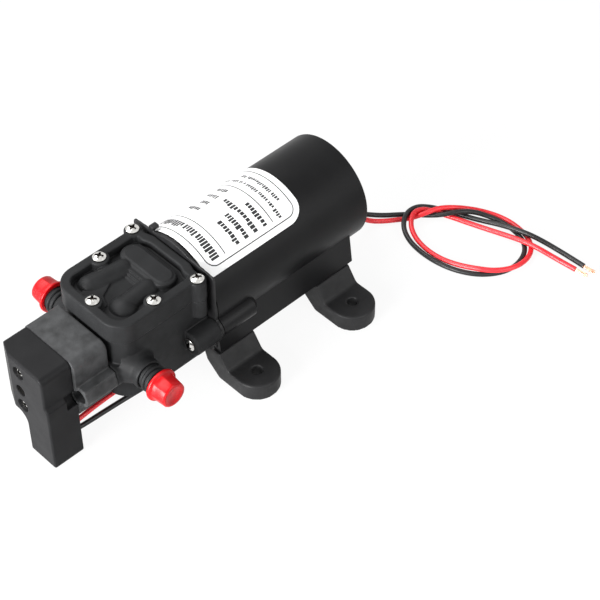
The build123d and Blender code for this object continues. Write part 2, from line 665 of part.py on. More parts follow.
def pump_body():
    front_x = HEAD_FRONT_X + BODY_INSET
    half = HEAD_HALF_Y - BODY_INSET
    corner = HEAD_CORNER_R - BODY_INSET
    plan = [(front_x, -half), (BODY_REAR_X, -half), (BODY_REAR_X, half), (front_x, half)]
    body = prism_z(plan, BODY_BOTTOM_Z, BODY_DECK_Z, [corner, 0, 0, corner])
    body -= box(front_x - 1, BODY_STEP_X, -half - 1, half + 1, BODY_BOTTOM_Z - 1, BODY_FRONT_BOTTOM_Z)
    low = body.faces().sort_by(Axis.Z)[0]
    body = fillet(low.edges().filter_by(Axis.X), BODY_ROUND)
    corner_r = CORNER_BOSS_R - BODY_INSET / 2
    for side in (-1, 1):
        body += rod_z(corner_r, CORNER_BOSS_BOTTOM_Z, BODY_DECK_Z, REAR_SCREW_XY[0], side * REAR_SCREW_XY[1])
        body += rod_x(HEAD_BOSS_R, HEAD_BOSS_FRONT_X, BODY_REAR_X, side * CASE_SCREW_Y, CASE_SCREW_Z)
        flare = cone_y(PORT_FLARE_R, PORT_BOSS_R, half - 2.5, half + 2.5, PORT_X, PORT_Z)
        port = flare + rod_y(PORT_BOSS_R, half - 4, PORT_BOSS_Y, PORT_X, PORT_Z)
        body += port if side > 0 else mirror_y(port)
        y = side * BLOCK_BOSS_Y
        ledge_y = (side * (BLOCK_LEDGE_Y - 10), side * BLOCK_LEDGE_Y)
        body += rod_x(BLOCK_BOSS_R, BLOCK_REAR_X + FIT, BLOCK_BOSS_REAR_X + 4, y, BLOCK_BOSS_Z)
        body += box(BLOCK_REAR_X + FIT, BLOCK_BOSS_REAR_X, *ledge_y, BLOCK_BOSS_Z, BLOCK_LEDGE_Z)
    sense_x = BLOCK_REAR_X + SENSE_THICK + 2 * RUN
    body += rod_x(SENSE_R + 1.0, sense_x, front_x + 2, SWITCH_Y, SWITCH_Z)
    crankcase = box(CRANKCASE_FRONT_X, BODY_REAR_X + 1, -CRANKCASE_Y, CRANKCASE_Y,
                    CRANKCASE_BOTTOM_Z, CRANKCASE_TOP_Z)
    body -= fillet(crankcase.edges().filter_by(Axis.X), 4.0)
    body -= rod_z(DIAPHRAGM_WORK_R, CRANKCASE_TOP_Z - 1, BODY_DECK_Z + 1, CRANK_X, 0)
    body -= rod_z(DIAPHRAGM_R + FIT, DIAPHRAGM_SEAT_Z, BODY_DECK_Z + 1, CRANK_X, 0)
    for side in (-1, 1):
        body -= rod_y(PORT_SPIGOT_R + FIT, side * PORT_SEAT_Y, side * (PORT_BOSS_Y + 1), PORT_X, PORT_Z)
        body -= rod_y(PASSAGE_R, side * (PASSAGE_Y - PASSAGE_R), side * (PORT_SEAT_Y + 1), PORT_X, PORT_Z)
        body -= rod_z(PASSAGE_R, PORT_Z - PASSAGE_R, BODY_DECK_Z + 1, PORT_X, side * PASSAGE_Y)
        body -= rod_x(CASE_SCREW_R + THREAD, HEAD_BOSS_FRONT_X - 1, BODY_REAR_X + 1,
                      side * CASE_SCREW_Y, CASE_SCREW_Z)
        body -= rod_x(BLOCK_SCREW_R + THREAD, BLOCK_REAR_X - 1, BLOCK_BOSS_REAR_X + 0.4,
                      side * BLOCK_BOSS_Y, BLOCK_BOSS_Z)
    for x, y in cover_screw_points():
        body -= rod_z(COVER_SCREW_R + THREAD, COVER_TOP_Z - COVER_SCREW_LONG - 1, BODY_DECK_Z + 1, x, y)
    sense_z = SWITCH_Z + 4.6
    body -= rod_y(1.2, -PASSAGE_Y, SWITCH_Y, PORT_X, sense_z)
    body -= rod_x(1.2, sense_x - 1, PORT_X, SWITCH_Y, sense_z)
    body -= rod_x(SENSE_WORK_R, sense_x - 1, sense_x + 0.8, SWITCH_Y, SWITCH_Z)
    body -= rod_x(SENSE_R + FIT, BLOCK_REAR_X - 1, sense_x, SWITCH_Y, SWITCH_Z)
    return body


def cavity(z0, z1, gap):
    """The space under the cover that the valve plate and seal lie in, smaller by gap."""
    space = head_plan(z0, z1, COVER_WALL + gap)
    for x, y in side_points(*SIDE_SCREW_XY) + ((FRONT_SCREW_X, 0.0),):
        space -= rod_z(POST_R + gap, z0 - 1, z1 + 1, x, y)
    for x, y in side_points(*REAR_SCREW_XY):
        space -= rod_z(CORNER_BOSS_R + gap, z0 - 1, z1 + 1, x, y)
    return space


def water_tube(start, end, r, end_r):
    """A round tube on the cover from start to end, with a domed end."""
    length = math.hypot(end[0] - start[0], end[1] - start[1])
    heading = math.degrees(math.atan2(end[1] - start[1], end[0] - start[0]))
    place = Pos(start[0], start[1], TUBE_AXIS_Z) * Rot(0, 0, heading)
    barrel = place * Pos(length / 2, 0, 0) * Rot(0, 90, 0) * Cylinder(r, length)
    dome = Pos(end[0], end[1], TUBE_AXIS_Z - (end_r - r)) * Sphere(end_r)
    return barrel + dome


def top_cover():
    cover = head_plan(COVER_BOTTOM_Z, COVER_TOP_Z, 0.0)
    for x, y in side_points(*REAR_SCREW_XY):
        cover += rod_z(CORNER_BOSS_R, COVER_BOTTOM_Z, COVER_TOP_Z, x, y)
    pocket = head_plan(POCKET_FLOOR_Z, COVER_TOP_Z + 1, RIM_WIDTH, REAR_STRIP - RIM_WIDTH)
    for x, y in side_points(*SIDE_SCREW_XY) + ((FRONT_SCREW_X, 0.0),):
        pocket -= rod_z(RIM_POST_R, POCKET_FLOOR_Z - 1, COVER_TOP_Z + 2, x, y)
    for x, y in side_points(*REAR_SCREW_XY):
        pocket -= rod_z(CORNER_BOSS_R + 0.8, POCKET_FLOOR_Z - 1, COVER_TOP_Z + 2, x, y)
    cover -= pocket
    cover = fillet(cover.faces().sort_by(Axis.Z)[-1].edges(), COVER_EDGE_ROUND)
    (x0, x1), (y0, y1) = CHAMBER_X, CHAMBER_Y
    round_r = (x1 - x0) / 2 - 0.05
    step_z = CHAMBER_TOP_Z - CHAMBER_STEP
    outline = [(x0, y0), (x1, y0), (x1, y1), (x0, y1)]
    chamber = prism_z(outline, COVER_CEILING_Z + 0.2, step_z, [round_r] * 4)
    step = CHAMBER_STEP_IN
    inset = [(x0 + step, y0 + step), (x1 - step, y0 + step), (x1 - step, y1 - step), (x0 + step, y1 - step)]
    crown = prism_z(inset, step_z - 0.5, CHAMBER_TOP_Z, [round_r - step] * 4)
    chamber = fillet(chamber.faces().sort_by(Axis.Z)[-1].edges(), 1.0)
    crown = fillet(crown.faces().sort_by(Axis.Z)[-1].edges(), 0.25)
    raised = chamber + crown + water_tube(*LEFT_TUBE, LEFT_TUBE[2])
    raised += water_tube(*RIGHT_TUBE, RIGHT_DOME[1])
    cover += raised & head_plan(COVER_CEILING_Z + 0.2, COVER_TOP_Z + 1, RIM_WIDTH / 2)
    cover -= cavity(COVER_BOTTOM_Z - 1, COVER_CEILING_Z, 0.0)
    for (start, end, r), side in ((LEFT_TUBE, 1), (RIGHT_TUBE, -1)):
        inside = water_tube(start, (PORT_X + 2.0, side * PASSAGE_Y * 0.86), GALLERY_R, GALLERY_R)
        well = box(x0 + 1.6, x1 - 1.6, side * 1.0, side * 11.4, COVER_CEILING_Z - 1, CHAMBER_TOP_Z - 1.6)
        cover -= inside + well
    for x, y in cover_screw_points():
        cover -= rod_z(COVER_SCREW_R + THREAD, COVER_BOTTOM_Z - 1, COVER_TOP_Z + 1, x, y)
    return cover


def cover_screws():
    screw = pan_screw(COVER_SCREW_HEAD_R, COVER_SCREW_HEAD_H, COVER_SCREW_R, COVER_SCREW_LONG)
    return [Pos(x, y, COVER_TOP_Z) * Rot(0, 0, 20 + 17 * n) * screw
            for n, (x, y) in enumerate(cover_screw_points())]


def case_screws():
    long = CASE_BOSS_END_X - 4.5 - HEAD_BOSS_FRONT_X
    place = (HEAD_BOSS_FRONT_X, CASE_SCREW_Y, CASE_SCREW_Z)
    screw = screw_x(COVER_SCREW_HEAD_R, 1.6, CASE_SCREW_R, long, *place)
    return [screw, mirror_y(screw)]


def valve_plate():
    plate = cavity(VALVE_PLATE_BOTTOM_Z, VALVE_PLATE_TOP_Z, FIT)
    plate -= rod_z(DIAPHRAGM_WORK_R, VALVE_PLATE_BOTTOM_Z - 1, CHAMBER_ROOF_Z, CRANK_X, 0)
    for side in (-1, 1):
        x, y = VALVE_XY[0], side * VALVE_XY[1]
        plate -= rod_z(VALVE_STEM_R + SLIP, CHAMBER_ROOF_Z - 1, VALVE_PLATE_TOP_Z + 1, x, y)
        for n in range(4):
            turn = math.radians(45 + 90 * n)
            hole_x = x + VALVE_PORT_CIRCLE_R * math.cos(turn)
            hole_y = y + VALVE_PORT_CIRCLE_R * math.sin(turn)
            plate -= rod_z(VALVE_PORT_R, CHAMBER_ROOF_Z - 1, VALVE_PLATE_TOP_Z + 1, hole_x, hole_y)
        plate -= rod_z(PASSAGE_R, VALVE_PLATE_BOTTOM_Z - 1, VALVE_PLATE_TOP_Z + 1, PORT_X, side * PASSAGE_Y)
    return plate


def cover_seal():
    z0, z1 = VALVE_PLATE_TOP_Z + RUN, COVER_CEILING_Z - RUN
    return cavity(z0, z1, FIT) - cavity(z0 - 1, z1 + 1, FIT + SEAL_WIDTH)


def inlet_valve():
    """Opens downwards, into the pumping chamber."""
    x, y = VALVE_XY
    disc_top = CHAMBER_ROOF_Z - VALVE_SEAT_GAP
    head_z = VALVE_PLATE_TOP_Z + VALVE_LIFT + 0.1
    valve = cone_z(VALVE_R - 0.4, VALVE_R, disc_top - VALVE_DISC, disc_top, x, y)
    valve += rod_z(VALVE_STEM_R, disc_top - VALVE_DISC, head_z + 0.6, x, y)
    return valve + rod_z(VALVE_HEAD_R, head_z, head_z + 0.6, x, y)


def outlet_valve():
    """Opens upwards, into the cover's chamber."""
    x, y = VALVE_XY[0], -VALVE_XY[1]
    disc_z = VALVE_PLATE_TOP_Z + VALVE_SEAT_GAP
    head_top = CHAMBER_ROOF_Z - VALVE_LIFT - 0.1
    valve = cone_z(VALVE_R, VALVE_R - 0.4, disc_z, disc_z + VALVE_DISC, x, y)
    valve += rod_z(VALVE_STEM_R, head_top - 0.35, disc_z + VALVE_DISC, x, y)
    return valve + rod_z(VALVE_HEAD_R, head_top - 0.35, head_top, x, y)


def port(side):
    tube = rod_y(PORT_SPIGOT_R, PORT_SEAT_Y + FIT, PORT_END_Y, PORT_X, PORT_Z)
    tube = chamfer(tube.edges().filter_by(GeomType.CIRCLE).sort_by(Axis.Y)[-1], 0.6)
    for n in range(3):
        y = PORT_BOSS_Y + 1.2 + 1.5 * n
        ring = rod_y(PORT_SPIGOT_R + 1, y, y + 0.5, PORT_X, PORT_Z)
        tube -= ring - rod_y(PORT_SPIGOT_R - 0.35, y - 1, y + 1.5, PORT_X, PORT_Z)
    tube -= rod_y(PORT_BORE_R, PORT_SEAT_Y - 1, PORT_END_Y + 1, PORT_X, PORT_Z)
    return tube if side > 0 else mirror_y(tube)


def cap(side):
    cup = cone_y(CAP_ROOT_R, CAP_TIP_R, CAP_FLANGE_Y, CAP_END_Y, PORT_X, PORT_Z)
    cup = chamfer(cup.edges().filter_by(GeomType.CIRCLE).sort_by(Axis.Y)[-1], CAP_BEVEL)
    cup += rod_y(CAP_FLANGE_R, CAP_FLANGE_Y, CAP_FLANGE_Y + CAP_FLANGE_THICK, PORT_X, PORT_Z)
    flange = cup.edges().filter_by(GeomType.CIRCLE).filter_by(lambda e: e.radius > CAP_FLANGE_R - 0.05)
    cup = fillet(flange, 0.5)
    cup -= rod_y(PORT_SPIGOT_R + SLIP, CAP_FLANGE_Y - 1, PORT_END_Y + 0.25, PORT_X, PORT_Z)
    return cup if side > 0 else mirror_y(cup)


# Crank, rod and diaphragm

PIN_Z = AXIS_Z + CRANK_THROW
ROD_FRONT_X = CRANK_X - ROD_W / 2
ROD_REAR_X = CRANK_X + ROD_W / 2
CLAMP_TOP_Z = DIAPHRAGM_SEAT_Z - RUN
BUTTON_Z0 = BODY_DECK_Z + RUN
BUTTON_Z1 = BUTTON_Z0 + BUTTON_THICK
GRUB_X = (HUB_PIN_X + HUB_REAR_X) / 2


def eccentric_hub():
    hub = rod_x(HUB_R, HUB_PIN_X, HUB_REAR_X)
    hub += rod_x(CRANK_PIN_R, ROD_FRONT_X - 0.6, HUB_PIN_X + 1, 0, PIN_Z)
    hub -= rod_x(SHAFT_R + RUN, SHAFT_FRONT_X - FIT, HUB_REAR_X + 1)
    return hub - rod_z(GRUB_R + THREAD, AXIS_Z, AXIS_Z + HUB_R + 1, GRUB_X, 0)


def hub_grub_screw():
    screw = rod_z(GRUB_R, AXIS_Z + SHAFT_R + RUN, AXIS_Z + HUB_R - 0.2, GRUB_X, 0)
    return screw - rod_z(GRUB_R / 2, AXIS_Z + HUB_R - 1.4, AXIS_Z + HUB_R, GRUB_X, 0)


def rod_bearing():
    x0, x1 = ROD_FRONT_X + 0.3, ROD_REAR_X - 0.3
    return rod_x(ROD_BEARING_R, x0, x1, 0, PIN_Z) - rod_x(CRANK_PIN_R + RUN, x0 - 1, x1 + 1, 0, PIN_Z)


def connecting_rod():
    rod = rod_x(ROD_RING_R, ROD_FRONT_X, ROD_REAR_X, 0, PIN_Z)
    foot_z = CLAMP_TOP_Z - CLAMP_THICK - FIT
    rod += box(ROD_FRONT_X, ROD_REAR_X, -ROD_STEM_W / 2, ROD_STEM_W / 2, PIN_Z + ROD_RING_R - 2.2, foot_z)
    rod -= rod_x(ROD_BEARING_R + RUN, ROD_FRONT_X - 1, ROD_REAR_X + 1, 0, PIN_Z)
    return rod


def diaphragm_clamp():
    """The dished disc under the rubber and the button above it."""
    under = rod_z(CLAMP_R, CLAMP_TOP_Z - CLAMP_THICK, CLAMP_TOP_Z, CRANK_X, 0)
    under = fillet(under.edges().filter_by(GeomType.CIRCLE).sort_by(Axis.Z)[-1], 0.8)
    button = rod_z(BUTTON_R, BUTTON_Z0, BUTTON_Z1, CRANK_X, 0)
    neck = rod_z(CLAMP_NECK_R, CLAMP_TOP_Z - 0.5, BUTTON_Z0 + 0.3, CRANK_X, 0)
    return under + neck + button - rod_z(1.0 + THREAD, 0, 80, CRANK_X, 0)


def clamp_screw():
    foot_z = CLAMP_TOP_Z - CLAMP_THICK
    head = rod_z(2.2, BUTTON_Z1 + 0.03, BUTTON_Z1 + 0.4, CRANK_X, 0)
    return head + rod_z(1.0, foot_z, BUTTON_Z1 + 0.1, CRANK_X, 0)


def diaphragm():
    z0, z1 = DIAPHRAGM_SEAT_Z + RUN / 2, BODY_DECK_Z
    disc = rod_z(DIAPHRAGM_R, z0, z1, CRANK_X, 0)
    fold = Pos(CRANK_X, 0, z0 - 0.9) * Torus(10.6, 1.5)
    disc -= fold
    return disc - rod_z(CLAMP_NECK_R + RUN, z0 - 1, z1 + 1, CRANK_X, 0)


# Pressure switch

PLUNGER_HEAD_X = BLOCK_REAR_X - FIT
STEM_BORE_X = PLUNGER_HEAD_X - PLUNGER_HEAD_W - PLUNGER_TRAVEL - 0.3


def switch_block():
    y0, y1, z0, z1 = -BLOCK_HALF_Y, BLOCK_LEFT_Y, BLOCK_BOTTOM_Z, BLOCK_TOP_Z
    block = prism_x([(y0, z0), (y1, z0), (y1, z1), (y0, z1)], BLOCK_FRONT_X, BLOCK_REAR_X,
                    [1.0, 1.0, BLOCK_LEFT_ROUND, BLOCK_ROUND])
    for side in (-1, 1):
        ledge_y = (side * (BLOCK_LEDGE_Y - 10), side * BLOCK_LEDGE_Y)
        block += rod_x(BLOCK_BOSS_R, BLOCK_BOSS_FRONT_X, BLOCK_REAR_X, side * BLOCK_BOSS_Y, BLOCK_BOSS_Z)
        block += box(BLOCK_BOSS_FRONT_X, BLOCK_REAR_X, *ledge_y, BLOCK_BOSS_Z, BLOCK_LEDGE_Z)
    for side in (-1, 1):
        y = side * BLOCK_BOSS_Y
        block -= rod_x(BLOCK_HOLE_R, BLOCK_FRONT_X - 1, BLOCK_SCREW_HEAD_X, y, BLOCK_BOSS_Z)
        block -= rod_x(BLOCK_SCREW_R + THREAD, BLOCK_SCREW_HEAD_X - 1, BLOCK_REAR_X + 1, y, BLOCK_BOSS_Z)
    block -= rod_x(PLUNGER_HEAD_R + SLIP, STEM_BORE_X, BLOCK_REAR_X + 1, SWITCH_Y, SWITCH_Z)
    block -= rod_x(PLUNGER_STEM_R + SLIP, BLOCK_FRONT_X - 1, BLOCK_REAR_X, SWITCH_Y, SWITCH_Z)
    block -= rod_x(PLUNGER_DISC_R + 0.3, BLOCK_FRONT_X - 1, PLUNGER_DISC_X + 0.6, SWITCH_Y, SWITCH_Z)
    for z in SCOVER_SCREW_Z:
        block -= rod_x(SCOVER_SCREW_R + THREAD, BLOCK_FRONT_X - 1, BLOCK_REAR_X - 4, SWITCH_Y, z)
    return block


def sensing_diaphragm():
    x0 = BLOCK_REAR_X + RUN
    return rod_x(SENSE_R, x0, x0 + SENSE_THICK, SWITCH_Y, SWITCH_Z)


def block_screws():
    long = BLOCK_BOSS_REAR_X - BLOCK_SCREW_HEAD_X
    return [screw_x(2.8, 1.6, BLOCK_SCREW_R, long, BLOCK_SCREW_HEAD_X, side * BLOCK_BOSS_Y, BLOCK_BOSS_Z)
            for side in (-1, 1)]


def switch_plunger():
    head = rod_x(PLUNGER_HEAD_R, PLUNGER_HEAD_X - PLUNGER_HEAD_W, PLUNGER_HEAD_X, SWITCH_Y, SWITCH_Z)
    stem = rod_x(PLUNGER_STEM_R, PLUNGER_DISC_X - 0.5, PLUNGER_HEAD_X - 1, SWITCH_Y, SWITCH_Z)
    disc = rod_x(PLUNGER_DISC_R, PLUNGER_DISC_X - PLUNGER_DISC_W, PLUNGER_DISC_X, SWITCH_Y, SWITCH_Z)
    return head + stem + disc


def pressure_spring():
    """A coil spring from the adjusting screw's cup to the plunger's disc."""
    x0 = ADJUSTER_SEAT_X + SPRING_WIRE_R + RUN
    x1 = PLUNGER_DISC_X - PLUNGER_DISC_W - SPRING_WIRE_R - RUN
    corners = 8
    reach = SPRING_R / math.cos(math.pi / corners)
    steps = SPRING_TURNS * corners
    points = []
    for n in range(steps + 1):
        turn = 2 * math.pi * n / corners
        across, up = reach * math.cos(turn), reach * math.sin(turn)
        points.append((x0 + (x1 - x0) * n / steps, SWITCH_Y + across, SWITCH_Z + up))
    run = math.dist(points[0], points[1])
    bend = 0.45 * run / math.tan(math.pi / corners)
    path = FilletPolyline(*points, radius=bend)
    return sweep((path ^ 0) * Circle(SPRING_WIRE_R), path=path)


def adjusting_screw():
    screw = rod_x(ADJUSTER_R, ADJUSTER_FRONT_X, ADJUSTER_SEAT_X - 0.5, SWITCH_Y, SWITCH_Z)
    screw += rod_x(ADJUSTER_CUP_R, ADJUSTER_SEAT_X - 1.0, ADJUSTER_SEAT_X, SWITCH_Y, SWITCH_Z)
    slot = Pos(ADJUSTER_FRONT_X, SWITCH_Y, SWITCH_Z) * Box(2.4, 3 * ADJUSTER_R, 0.7)
    return screw - slot


def cover_section(grow):
    """The (y, z) points and corner radii of the switch cover, drawn in by grow."""
    left, right = SCOVER_LEFT_Y - grow, SCOVER_RIGHT_Y + grow
    low_right = right - SCOVER_STEP_OUT
    top, bottom = SCOVER_TOP_Z - grow, SCOVER_BOTTOM_Z + grow
    shelf, hang = SCOVER_SHELF_Z + grow, SCOVER_HANG_Y - grow
    points = [(low_right, bottom), (low_right, SCOVER_STEP_Z[0]), (right, SCOVER_STEP_Z[1]), (right, top),
              (left, top), (left, shelf), (hang, shelf), (hang, bottom)]
    corner = max(SCOVER_ROUND - grow, 0.5)
    radii = [0.8, 0.6, 0.6, corner, corner, 1.2, SCOVER_HANG_ROUND + grow, 0.8]
    return points, radii


def corner_cut(grow):
    """The cutter that slants the left front corner of the switch cover."""
    deep, wide = SCOVER_CHAMFER
    x, y = SCOVER_FRONT_X + grow, SCOVER_LEFT_Y - grow
    points = [(x - 5, y + 5), (x - 5, y - wide), (x, y - wide), (x + deep, y), (x + deep, y + 5)]
    return prism_z(points, -5, SCOVER_TOP_Z + 5)


def switch_cover():
    rear = BLOCK_FRONT_X - FIT
    points, radii = cover_section(0.0)
    shell = prism_x(points, SCOVER_FRONT_X, rear, radii) - corner_cut(0.0)
    shell = fillet(shell.faces().sort_by(Axis.X)[0].edges(), SCOVER_EDGE_ROUND)
    points, radii = cover_section(SCOVER_WALL)
    hollow = prism_x(points, SCOVER_FRONT_X + SCOVER_WALL, rear + 1, radii) - corner_cut(SCOVER_WALL * 0.8)
    hollow -= box(rear - SCOVER_WALL, rear + 2, SCOVER_RIGHT_Y - 5, SCOVER_HANG_Y + 0.5,
                  -1, BLOCK_BOTTOM_Z - FIT)
    shell -= hollow
    inner_x = SCOVER_FRONT_X + 0.8
    posts = [rod_x(SCOVER_POST_R, inner_x, rear, SWITCH_Y, z) for z in SCOVER_SCREW_Z]
    posts.append(rod_x(ADJUSTER_CUP_R + 0.9, inner_x, ADJUSTER_SEAT_X - 1.2, SWITCH_Y, SWITCH_Z))
    for post in posts:
        shell += post
    ear_x = (SCOVER_FRONT_X + 0.8, LEVER_PIVOT_X + 1.8)
    ear_z = (LEVER_PIVOT_Z - 2.2, LEVER_PIVOT_Z + 2.2)
    shell += box(*ear_x, LEVER_Y[0] - FIT - 3.6, LEVER_Y[0] - FIT, *ear_z)
    for side in (-1, 1):
        y = side * BLOCK_BOSS_Y
        pipe = rod_x(BLOCK_HOLE_R + 1.2, rear - 6.0, rear, y, BLOCK_BOSS_Z)
        points, radii = cover_section(0.3)
        shell += pipe & prism_x(points, SCOVER_FRONT_X + 1, rear, radii)
        shell -= rod_x(BLOCK_HOLE_R + 0.1, rear - 5.0, rear + 1, y, BLOCK_BOSS_Z)
    for z in SCOVER_SCREW_Z:
        shell -= rod_x(SCOVER_SINK_R, SCOVER_FRONT_X - 1, SCOVER_FRONT_X + SCOVER_SINK_DEEP, SWITCH_Y, z)
        shell -= rod_x(SCOVER_SCREW_R + THREAD, SCOVER_FRONT_X, rear + 1, SWITCH_Y, z)
    shell -= rod_x(ADJUST_HOLE_R, SCOVER_FRONT_X - 1, ADJUSTER_FRONT_X - 0.6, SWITCH_Y, SWITCH_Z)
    shell -= rod_x(ADJUSTER_R + SLIP, SCOVER_FRONT_X, ADJUSTER_SEAT_X, SWITCH_Y, SWITCH_Z)
    shell -= rod_y(LEVER_PIN_R + RUN, LEVER_Y[0] - 2.6, SWITCH_Y, LEVER_PIVOT_X, LEVER_PIVOT_Z)
    shell -= box(rear - 3, rear + 1, MICRO_Y[0] - 0.5, MICRO_Y[1] + 0.5, *WIRE_SLOT_Z)
    return shell


def switch_cover_screws():
    x = SCOVER_FRONT_X + SCOVER_SINK_DEEP
    screw = (SCOVER_SCREW_HEAD_R, SCOVER_SCREW_HEAD_H, SCOVER_SCREW_R, SCOVER_SCREW_LONG)
    return [screw_x(*screw, x, SWITCH_Y, z) for z in SCOVER_SCREW_Z]


def microswitch_case():
    case = box(*MICRO_X, *MICRO_Y, *MICRO_Z)
    case = fillet(case.edges().filter_by(Axis.Y), 0.5)
    y = sum(MICRO_Y) / 2
    half_y, half_z = BUTTON_SIZE[0] / 2 + SLIP, BUTTON_SIZE[1] / 2 + SLIP
    case -= box(MICRO_X[0] - 1, MICRO_X[0] + BUTTON_DEEP + PLUNGER_TRAVEL, y - half_y, y + half_y,
                BUTTON_Z - half_z, BUTTON_Z + half_z)
    for z in (MICRO_Z[0] + 2.4, MICRO_Z[1] - 5.6):
        case -= rod_y(0.8, MICRO_Y[0] - 1, MICRO_Y[1] + 1, MICRO_X[0] + 3.9, z)
    return case


def microswitch_button():
    y = sum(MICRO_Y) / 2
    half_y, half_z = BUTTON_SIZE[0] / 2, BUTTON_SIZE[1] / 2
    button = box(MICRO_X[0] - BUTTON_OUT, MICRO_X[0] + BUTTON_DEEP, y - half_y, y + half_y,
                 BUTTON_Z - half_z, BUTTON_Z + half_z)
    return fillet(button.faces().sort_by(Axis.X)[0].edges().filter_by(Axis.Y), 0.5)


def microswitch_terminals():
    y = sum(MICRO_Y) / 2
    return [box(MICRO_X[1] + RUN, TERMINAL_END_X, y - TERMINAL_W / 2, y + TERMINAL_W / 2,
                z - TERMINAL_THICK / 2, z + TERMINAL_THICK / 2) for z in TERMINAL_Z]


def switch_lever():
    """A bell crank from the plunger's disc down to the microswitch's button."""
    tip_x = PLUNGER_DISC_X - PLUNGER_DISC_W - LEVER_GAP
    toe_x = MICRO_X[0] - BUTTON_OUT - LEVER_GAP
    back_x = BLOCK_FRONT_X - 2 * FIT
    arm = [(LEVER_PIVOT_X - 1.2, LEVER_PIVOT_Z), (LEVER_PIVOT_X + 1.2, LEVER_PIVOT_Z + 0.4),
           (back_x, SWITCH_Z - 5.0), (back_x, SWITCH_Z - 1.2), (tip_x, SWITCH_Z - 0.8),
           (tip_x, SWITCH_Z + 0.8), (back_x - 1.4, SWITCH_Z + 1.4), (back_x - 1.4, SWITCH_Z - 4.6)]
    upper = prism_y(arm, *LEVER_TINE_Y)
    leg = [(LEVER_PIVOT_X - 1.6, LEVER_PIVOT_Z), (toe_x - 1.1, BUTTON_Z + 3.4),
           (toe_x - 1.1, BUTTON_Z - 1.6), (toe_x, BUTTON_Z - 1.6), (toe_x, BUTTON_Z + 3.0),
           (LEVER_PIVOT_X + 1.0, LEVER_PIVOT_Z)]
    lower = prism_y(leg, *LEVER_Y)
    barrel = rod_y(LEVER_BARREL_R, LEVER_Y[0], LEVER_TINE_Y[1], LEVER_PIVOT_X, LEVER_PIVOT_Z)
    hole = rod_y(LEVER_PIN_R + RUN, LEVER_Y[0] - 1, 0, LEVER_PIVOT_X, LEVER_PIVOT_Z)
    return upper + lower + barrel - hole


def lever_pin():
    return rod_y(LEVER_PIN_R, LEVER_Y[0] - 2.4, LEVER_TINE_Y[1] + 1.6, LEVER_PIVOT_X, LEVER_PIVOT_Z)


def label():
    """A thin printed sheet wrapped round the motor, with rounded rear corners."""
    x0, x1 = LABEL_X
    inner = HOUSING_R + 0.03
    sheet = rod_x(inner + LABEL_THICK, x0, x1) - rod_x(inner, x0 - 1, x1 + 1)
    reach = 3 * HOUSING_R
    low = AXIS_Z - reach
    right, left = [(reach * math.sin(a), AXIS_Z + reach * math.cos(a))
                   for a in map(math.radians, LABEL_ANGLES)]
    sheet -= prism_x([(0, AXIS_Z), right, (right[0], low), (left[0], low), left], x0 - 1, x1 + 1)
    r = LABEL_CORNER_R
    offset = math.degrees(math.asin(r / HOUSING_R))
    for angle, side in zip(LABEL_ANGLES, (-1, 1)):
        cutter = box(x1 - r, x1 + 1, 0, side * (r + 2), 10, 2 * HOUSING_R)
        cutter -= rod_z(r, 9, 2 * HOUSING_R + 1, x1 - r, 0)
        sheet -= Pos(0, 0, AXIS_Z) * Rot(side * offset - angle, 0, 0) * cutter
    return sheet


# Cords

def tube(points, r, name):
    """A tube of straight runs and tangent arcs, each arc as large as its runs allow."""
    vectors = [Vector(*p) for p in points]
    runs = [b - a for a, b in zip(vectors, vectors[1:])]
    radii = []
    for before, after in zip(runs, runs[1:]):
        half = math.radians(before.get_angle(after)) / 2
        radii.append(0.45 * min(before.length, after.length) / math.tan(half))
    path = FilletPolyline(*points, radius=radii)
    solid = sweep((path ^ 0) * Circle(r), path=path)
    print(name, "radii", " ".join(f"{value:.1f}" for value in radii), f"length {path.length:.1f}",
          f"volume over section times length {solid.volume / (math.pi * r * r * path.length):.4f}")
    return solid


RED_ROUTE = [
    (49.8, -1.8, 20.8), (54.5, -1.8, 20.8), (60.0, -1.8, 17.2), (64.4, -1.9, 10.8), (68.4, -2.6, 5.5),
    (72.8, -4.1, 2.3), (77.4, -7.1, 1.4), (82.1, -10.2, 1.2), (86.7, -13.6, 1.2), (91.0, -17.4, 3.6),
    (97.9, -20.4, 5.1), (105.2, -24.6, 3.4), (111.4, -30.0, 1.7), (115.4, -37.1, 1.2), (117.3, -45.0, 1.2),
    (117.0, -52.8, 1.2), (114.8, -60.2, 1.2), (109.9, -65.5, 1.3), (102.2, -68.3, 2.6), (94.4, -67.7, 3.4),
    (87.6, -63.7, 3.8), (82.9, -57.1, 3.7), (79.8, -48.9, 2.2), (77.8, -40.2, 1.4), (77.6, -31.5, 1.5),
    (79.0, -23.9, 2.3), (82.2, -18.1, 4.0), (88.3, -14.2, 5.1), (95.2, -15.2, 2.8), (98.9, -20.8, 1.2),
    (101.0, -26.4, 1.2), (103.4, -33.7, 1.2), (106.4, -43.1, 1.5), (108.6, -52.1, 2.6), (110.1, -60.5, 3.9),
    (111.4, -67.7, 3.9), (113.2, -73.8, 2.3), (114.5, -79.8, 1.4), (115.3, -85.9, 1.2),
]
